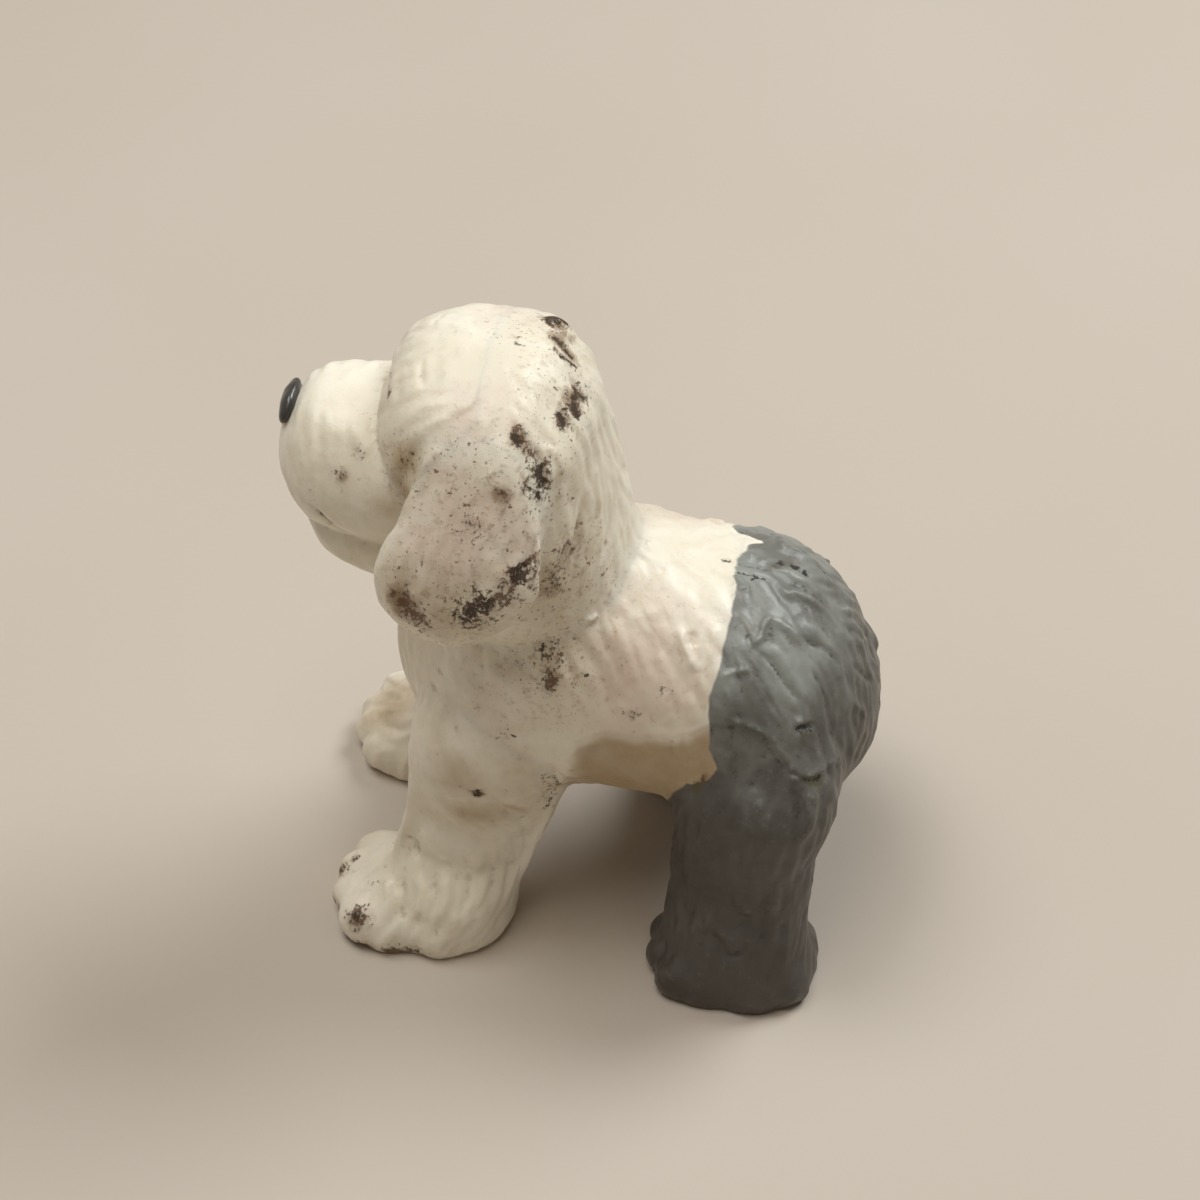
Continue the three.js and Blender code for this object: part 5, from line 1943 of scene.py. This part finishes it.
        # Tan below the hem and on belly surfaces that face down: painted shade of the undersides, partly the
        # belly's own yellow-brown
        under = ramp(Hem().level(x) - z, -0.3, 1.0) * ramp(x, -0.4, 1.6) * (1 - ramp(z, 19.5, 20.5))
        belly = ramp(-normals[:, 2], 0.0, 0.7) * ramp(x, -8.0, -3.0)
        belly = belly * ramp(z, 6.0, 9.0) * (1 - ramp(z, 16.0, 19.0))
        found[Mark.TAN] = np.maximum(found[Mark.TAN], 0.85 * np.maximum(under, belly))
        return found

    def face(self) -> tuple[Shell, Shell]:
        """Makes the muzzle with its furrow, and the lower jaw."""
        head = self.head
        muzzle = head.muzzle().shell(90, 100)
        x, y, z = muzzle.points.T
        front = 1 - ramp(x, head.tip_x + 0.5, head.tip_x + 3.0)
        low = 1 - ramp(z, head.muzzle_z - 0.5, head.muzzle_z + 1.2)
        muzzle.points[:, 0] += self.furrow_depth * np.exp(-((y / self.furrow_width) ** 2)) * front * low
        return muzzle, head.jaw().shell(70, 80)

    def lie_of_hair(
        self, body: Shell, sides: Sides, owner: Array, names: list[str]
    ) -> tuple[Array, Array, Array, Array]:
        """Settles how the hair lies.

        Args:
            body: The blended body.
            sides: Its neighbours.
            owner: Form of each point.
            names: Names of the forms.

        Returns:
            Direction, cover, size, and share of the rear coat at each point.
        """
        head = self.head
        x, y, z = body.points.T
        out = np.sign(y)[:, None] * ACROSS
        flow = 0.5 * out + np.array((0.42, 0, -0.9))
        chest = 1 - ramp(x, -9.5, -6.0)
        flow = blend(flow, chest, np.array((0.25, 0, -1.0)) + 0.2 * out)
        for number, name in enumerate(names):
            mine = owner == number
            if name == "skull":
                crown = np.array((head.skull_x - 1.0, 0, head.crown_z + 3.0))
                fall = unit(body.points - crown) * 1.6 + np.array((0.0, 0, -0.8))
                flow[mine] = blend(fall, 1 - ramp(z, 29, 34), np.array((-0.38, 0, -1.0)) + 0.3 * out)[mine]
            elif name == "fringe":
                flow[mine] = (np.array((-1.0, 0, -0.7)) + 0.35 * out)[mine]
            elif name.endswith("_ear"):
                flow[mine] = (np.array((-0.12, 0, -1.0)) + 0.3 * out * ramp(z, 33, 37)[:, None])[mine]
            elif "front" in name:
                flow[mine] = (0.6 * ramp(z, 6.0, 13.0)[:, None] * np.array((1.0, 0, 0)) - UP)[mine]
            elif "rear" in name:
                flow[mine] = (-0.12, 0, -1.0)
        paws = 1 - ramp(z, 3.0, 5.0)
        flow = blend(unit(flow), paws, unit(np.array((-0.5, 0, -1.0)) + 0.6 * out))
        flow = unit(sides.relaxed(flow, 30))
        cover = ramp(z, 0.6, 2.2)
        scale = 1.0 - 0.18 * ramp(z, 24, 27) - 0.2 * (1 - ramp(z, 4, 9))
        return flow, cover, scale, ramp(x, 8.0, 9.0)


class Piece:
    """A separate closed part of the skin that stands for CAD nodes."""

    cap_depth = 1.0
    cap_slope = 0.35
    cap_rings = ((0.03, 0.4), (0.2, 1.0))

    def __init__(self, name: str, nodes: tuple[str, ...], slot: str) -> None:
        """Takes the names."""
        self.name, self.nodes, self.slot = name, nodes, slot

    def rims(self, starts: list[int], ends: list[int]) -> list[list[int]]:
        """Sorts open sides into loops that pass no point twice.

        Args:
            starts: First point of each side.
            ends: Second point of each side.

        Returns:
            The points of each loop, in order.
        """
        follows: dict[int, list[int]] = {}
        for start, end in zip(starts, ends):
            follows.setdefault(start, []).append(end)
        loops = []
        while follows:
            path = [next(iter(follows))]
            while path[-1] in follows:
                onward = follows[path[-1]]
                ahead = onward.pop()
                if not onward:
                    del follows[path[-1]]
                if ahead in path:
                    at = path.index(ahead)
                    loops.append(path[at:])
                    del path[at + 1:]
                else:
                    path.append(ahead)
        return loops

    def cut_from(
        self, skin: Shell, normals: Array, mine: Array, layers: dict[Mark, Array]
    ) -> bpy.types.Object:
        """Cuts the part out of the skin and closes it inside.

        Args:
            skin: The whole skin.
            normals: Direction of each of its points.
            mine: Whether each face belongs to the part.
            layers: Numbers for each point that the finish reads.

        Returns:
            The part's object.
        """
        quads = skin.faces[mine]
        sides = Sides(Shell(skin.points, quads))
        key, key_beside = sides.keys()
        open_side = ~np.isin(key, key_beside)
        used = np.unique(quads)
        renumber = np.full(len(skin.points), -1)
        renumber[used] = np.arange(len(used))
        middle = skin.points[used].mean(axis=0)
        points = [skin.points[used]]
        caps: list[Face] = []
        count = len(used)
        for loop in self.rims(sides.start[open_side].tolist(), sides.end[open_side].tolist()):
            rim = skin.points[loop]
            centre = rim.mean(axis=0)
            radius = float(np.linalg.norm(np.roll(rim, -1, axis=0) - rim, axis=1).sum() / (2 * np.pi))
            depth = min(self.cap_depth, self.cap_slope * radius)
            outer = [int(renumber[point]) for point in loop]
            for inwards, sunk in self.cap_rings:
                points.append(rim + inwards * (centre - rim) - sunk * depth * normals[loop])
                inner = list(range(count, count + len(loop)))
                for a, b, c, d in zip(outer, outer[1:] + outer[:1], inner, inner[1:] + inner[:1]):
                    caps += [(b, a, c), (b, c, d)]
                outer = inner
                count += len(loop)
            points.append((centre + unit(middle - centre) * min(0.3, 0.07 * radius))[None])
            caps += [(b, a, count) for a, b in zip(outer, outer[1:] + outer[:1])]
            count += 1
        corners = np.concatenate((renumber[quads].ravel(), np.ravel(caps)))
        sizes = np.concatenate((np.full(len(quads), 4), np.full(len(caps), 3)))
        mesh = smooth_mesh(self.name, np.concatenate(points) * MM, corners, sizes)
        added = count - len(used)
        facing = np.concatenate((normals[used], np.tile(UP, (added, 1))))
        mesh.normals_split_custom_set_from_vertices(facing.tolist())
        for mark, values in layers.items():
            layer = mesh.attributes.new(mark.value, "FLOAT", "POINT")
            layer.data.foreach_set("value", np.concatenate((values[used], np.zeros(added))).astype(np.float32))
        piece = in_scene(self.name, mesh)
        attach(piece, "root")
        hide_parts(*self.nodes)
        log.info("%s: %d faces, %d caps", self.name, len(quads), added)
        return piece


class Bead:
    """A closed rounded piece of its own, such as the nose or an eye."""

    def __init__(self, node: str, grow: Array, shift: Array) -> None:
        """Takes the middle and size from the CAD box.

        Args:
            node: The node that it stands for.
            grow: How much larger than the box it is, in millimetres.
            shift: How far its middle is moved.
        """
        low, high = box_of(node)
        self.node, self.middle, self.size = node, (low + high) / 2 + shift, high - low + grow

    def placed(self, shell: Shell, finish: bpy.types.Material) -> bpy.types.Object:
        """Makes the object of a shell, with its finish, body and node."""
        piece = in_scene(f"{self.node}_gloss", shell.mesh(f"{self.node}_gloss", MM))
        piece.data.materials.append(finish)
        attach(piece, "root")
        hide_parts(self.node)
        log.info("%s: %d faces", piece.name, len(shell.faces))
        return piece


class Nose(Bead):
    """The nose leather: a broad wedge with two nostrils and a groove between them."""

    nostril_depth = 0.42
    nostril_width = 0.34
    groove_depth = 0.16
    lean = 0.22

    def build(self, finish: bpy.types.Material) -> bpy.types.Object:
        """Makes the nose."""
        shell = ball(self.middle, self.size, 72, 96)
        rel = (shell.points - self.middle) / self.size * 2
        shell.points[:, 1] *= 1 - 0.2 * ramp(-rel[:, 2], -0.2, 1.0)
        shell.points[:, 0] += self.lean * (shell.points[:, 2] - self.middle[2])
        x, y, z = shell.points.T
        front = ramp(-rel[:, 0], 0.0, 0.5)
        below = (z - self.middle[2] + self.size[2] * 0.1) / (0.8 * self.nostril_width)
        nostrils = np.zeros(len(x))
        for side in Side:
            aside = (y - side * self.size[1] * 0.24) / self.nostril_width
            nostrils += np.exp(-(aside**2 + below**2))
        groove = np.exp(-((y / 0.13) ** 2)) * (1 - ramp(rel[:, 2], -0.1, 0.5))
        inward = unit(self.middle - shell.points)
        depth = front * (self.nostril_depth * nostrils + self.groove_depth * groove)
        depth = depth - 0.03 * ripple(shell.points, 0.9, 8)
        shell.points = shell.points + inward * depth[:, None]
        return self.placed(shell, finish)


class Eye(Bead):
    """A dark eye: a bead with a bulging front and a thin rim."""

    def build(self, finish: bpy.types.Material) -> bpy.types.Object:
        """Makes the eye."""
        shell = ball(self.middle, self.size, 40, 56)
        side = np.sign(self.middle[1])
        look = unit(np.array((-0.85, 0.5 * side, 0.05)))
        rel = (shell.points - self.middle) / self.size * 2
        facing = rel @ look
        bulge = 0.1 * ramp(facing, 0.72, 0.86) - 0.07 * np.exp(-(((facing - 0.68) / 0.06) ** 2))
        shell.points = shell.points + unit(rel) * bulge[:, None]
        return self.placed(shell, finish)


def settled(sides: Sides, face_owner: Array) -> Array:
    """Gives each face that lies alone to a part beside it.

    Args:
        sides: The sides of the whole skin.
        face_owner: Number of the part that each face belongs to.

    Returns:
        The numbers, without faces that lie alone.
    """
    key, key_beside = sides.keys()
    face = np.tile(np.arange(len(face_owner)), 4)
    beside = np.empty_like(face)
    beside[np.argsort(key)] = face[np.argsort(key_beside)]
    beside = beside.reshape(4, -1)
    alone = (face_owner[beside] != face_owner).all(axis=0)
    return np.where(alone, face_owner[beside[0]], face_owner)


@dataclass(frozen=True)
class Studio:
    """Camera, floor and lamps."""

    azimuth: float = 10.0
    elevation: float = 45.0
    distance: float = 205.6
    target: tuple[float, float, float] = (0.0, 4.86, 16.2)
    lens: float = 105.0
    floor_reach: float = 0.6
    lamps_look_at: tuple[float, float, float] = (0.0, 0.0, 0.015)
    lamp_width: float = 0.2

    def build(self) -> None:
        """Builds all of it."""
        scene = bpy.context.scene
        a, e = math.radians(self.azimuth), math.radians(self.elevation)
        back = Vector((math.sin(a) * math.cos(e), -math.cos(a) * math.cos(e), math.sin(e)))
        camera = bpy.data.cameras.new("camera")
        camera.lens, camera.sensor_width = self.lens, 36.0
        camera.clip_start = 0.01
        eye = in_scene("camera", camera)
        eye.location = (Vector(self.target) + back * self.distance) * MM
        eye.rotation_euler = back.to_track_quat("Z", "Y").to_euler()
        scene.camera = eye
        floor_mesh = bpy.data.meshes.new("floor")
        r = self.floor_reach
        floor_mesh.from_pydata([(-r, -r, 0), (r, -r, 0), (r, r, 0), (-r, r, 0)], [], [(0, 1, 2, 3)])
        floor_mesh.materials.append(PaleFloor().material())
        floor = in_scene("floor", floor_mesh)
        for name, place, power, tint in (
            ("key", (0.18, 0.182, 0.324), 0.92, (0.97, 1.0, 1.0)),
            ("top", (-0.13, 0.03, 0.394), 0.5, (0.98, 1.0, 1.0)),
            ("near_top", (-0.03, -0.083, 0.409), 0.4, (1.0, 0.94, 0.84)),
        ):
            lamp = bpy.data.lights.new(name, "AREA")
            lamp.shape, lamp.size, lamp.energy, lamp.color = "DISK", self.lamp_width, power, tint
            holder = in_scene(name, lamp)
            holder.location = place
            away = Vector(place) - Vector(self.lamps_look_at)
            holder.rotation_euler = away.to_track_quat("Z", "Y").to_euler()
        world = bpy.data.worlds.new("studio")
        world.use_nodes = True
        work = NodeWork(world.node_tree)
        world.node_tree.nodes.clear()
        glow = work.add("ShaderNodeBackground", {"Color": (1, 0.84, 0.68, 1), "Strength": 0.14})
        wall = work.add("ShaderNodeBackground", {"Color": linear((206, 197, 186)), "Strength": 1.0})
        path = work.add("ShaderNodeLightPath").outputs
        seen = work.maths("MAXIMUM", path["Is Camera Ray"], path["Is Glossy Ray"])
        seen = work.maths("MAXIMUM", seen, path["Is Transmission Ray"])
        both = work.add("ShaderNodeMixShader", {0: seen, 1: glow.outputs[0], 2: wall.outputs[0]})
        work.add("ShaderNodeOutputWorld", {"Surface": both.outputs[0]})
        scene.world = world
        scene.view_settings.view_transform = "Standard"


def main() -> None:
    """Builds the puppy and the studio."""
    logging.basicConfig(level=logging.INFO, format="%(name)s: %(message)s", stream=sys.stdout)
    trunk, head = Trunk(TrunkSizes()), Head(HeadSizes())
    legs: list[Leg] = []
    for word, side in (("left", Side.LEFT), ("right", Side.RIGHT)):
        legs.append(FrontLeg(f"front_{word}_leg", side, LegSizes(8.6, 7.4)))
        legs.append(RearLeg(f"rear_{word}_leg", side, LegSizes(9.2, 7.4)))
    coat = Coat(trunk, head, legs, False)
    skin, owner, names = coat.build()
    marks = coat.marks(skin, owner, names)
    finish = PaintedSkin().material()
    normals = skin.normals()
    kinds = {"trunk": "forebody", "skull": "head", "fringe": "brow_fringe", "jaw": "lower_jaw"}
    parts = [kinds.get(name, name) for name in names] + ["hindquarters"]
    behind = (owner == names.index("trunk")) & (skin.points[:, 0] >= trunk.waist_x)
    owner = np.where(behind, parts.index("hindquarters"), owner)
    sides = Sides(skin)
    shares = [
        sides.relaxed((owner == number).astype(float), BORDER_ROUNDS)[skin.faces].mean(axis=1)
        for number in range(len(parts))
    ]
    face_owner = settled(sides, np.argmax(shares, axis=0))
    for number, part in enumerate(parts):
        slot = Slot.GREY if part.startswith(("rear", "hind")) else Slot.PALE
        made = Piece(f"{part}_coat", (part,), slot.value).cut_from(skin, normals, face_owner == number, marks)
        made.data.materials.append(finish)
    nose = Nose("nose", np.array((-1.5, -0.2, -0.3)), np.array((-0.48, 0, 0.42)))
    nose.build(GlossyBlack("nose gloss").material())
    eye_finish = GlossyBlack("eye gloss", (18, 13, 10), (40, 26, 16), 0.08).material()
    for node in ("left_eye", "right_eye"):
        Eye(node, np.zeros(3), np.zeros(3)).build(eye_finish)
    Studio().build()


if __name__ == "__main__":
    main()
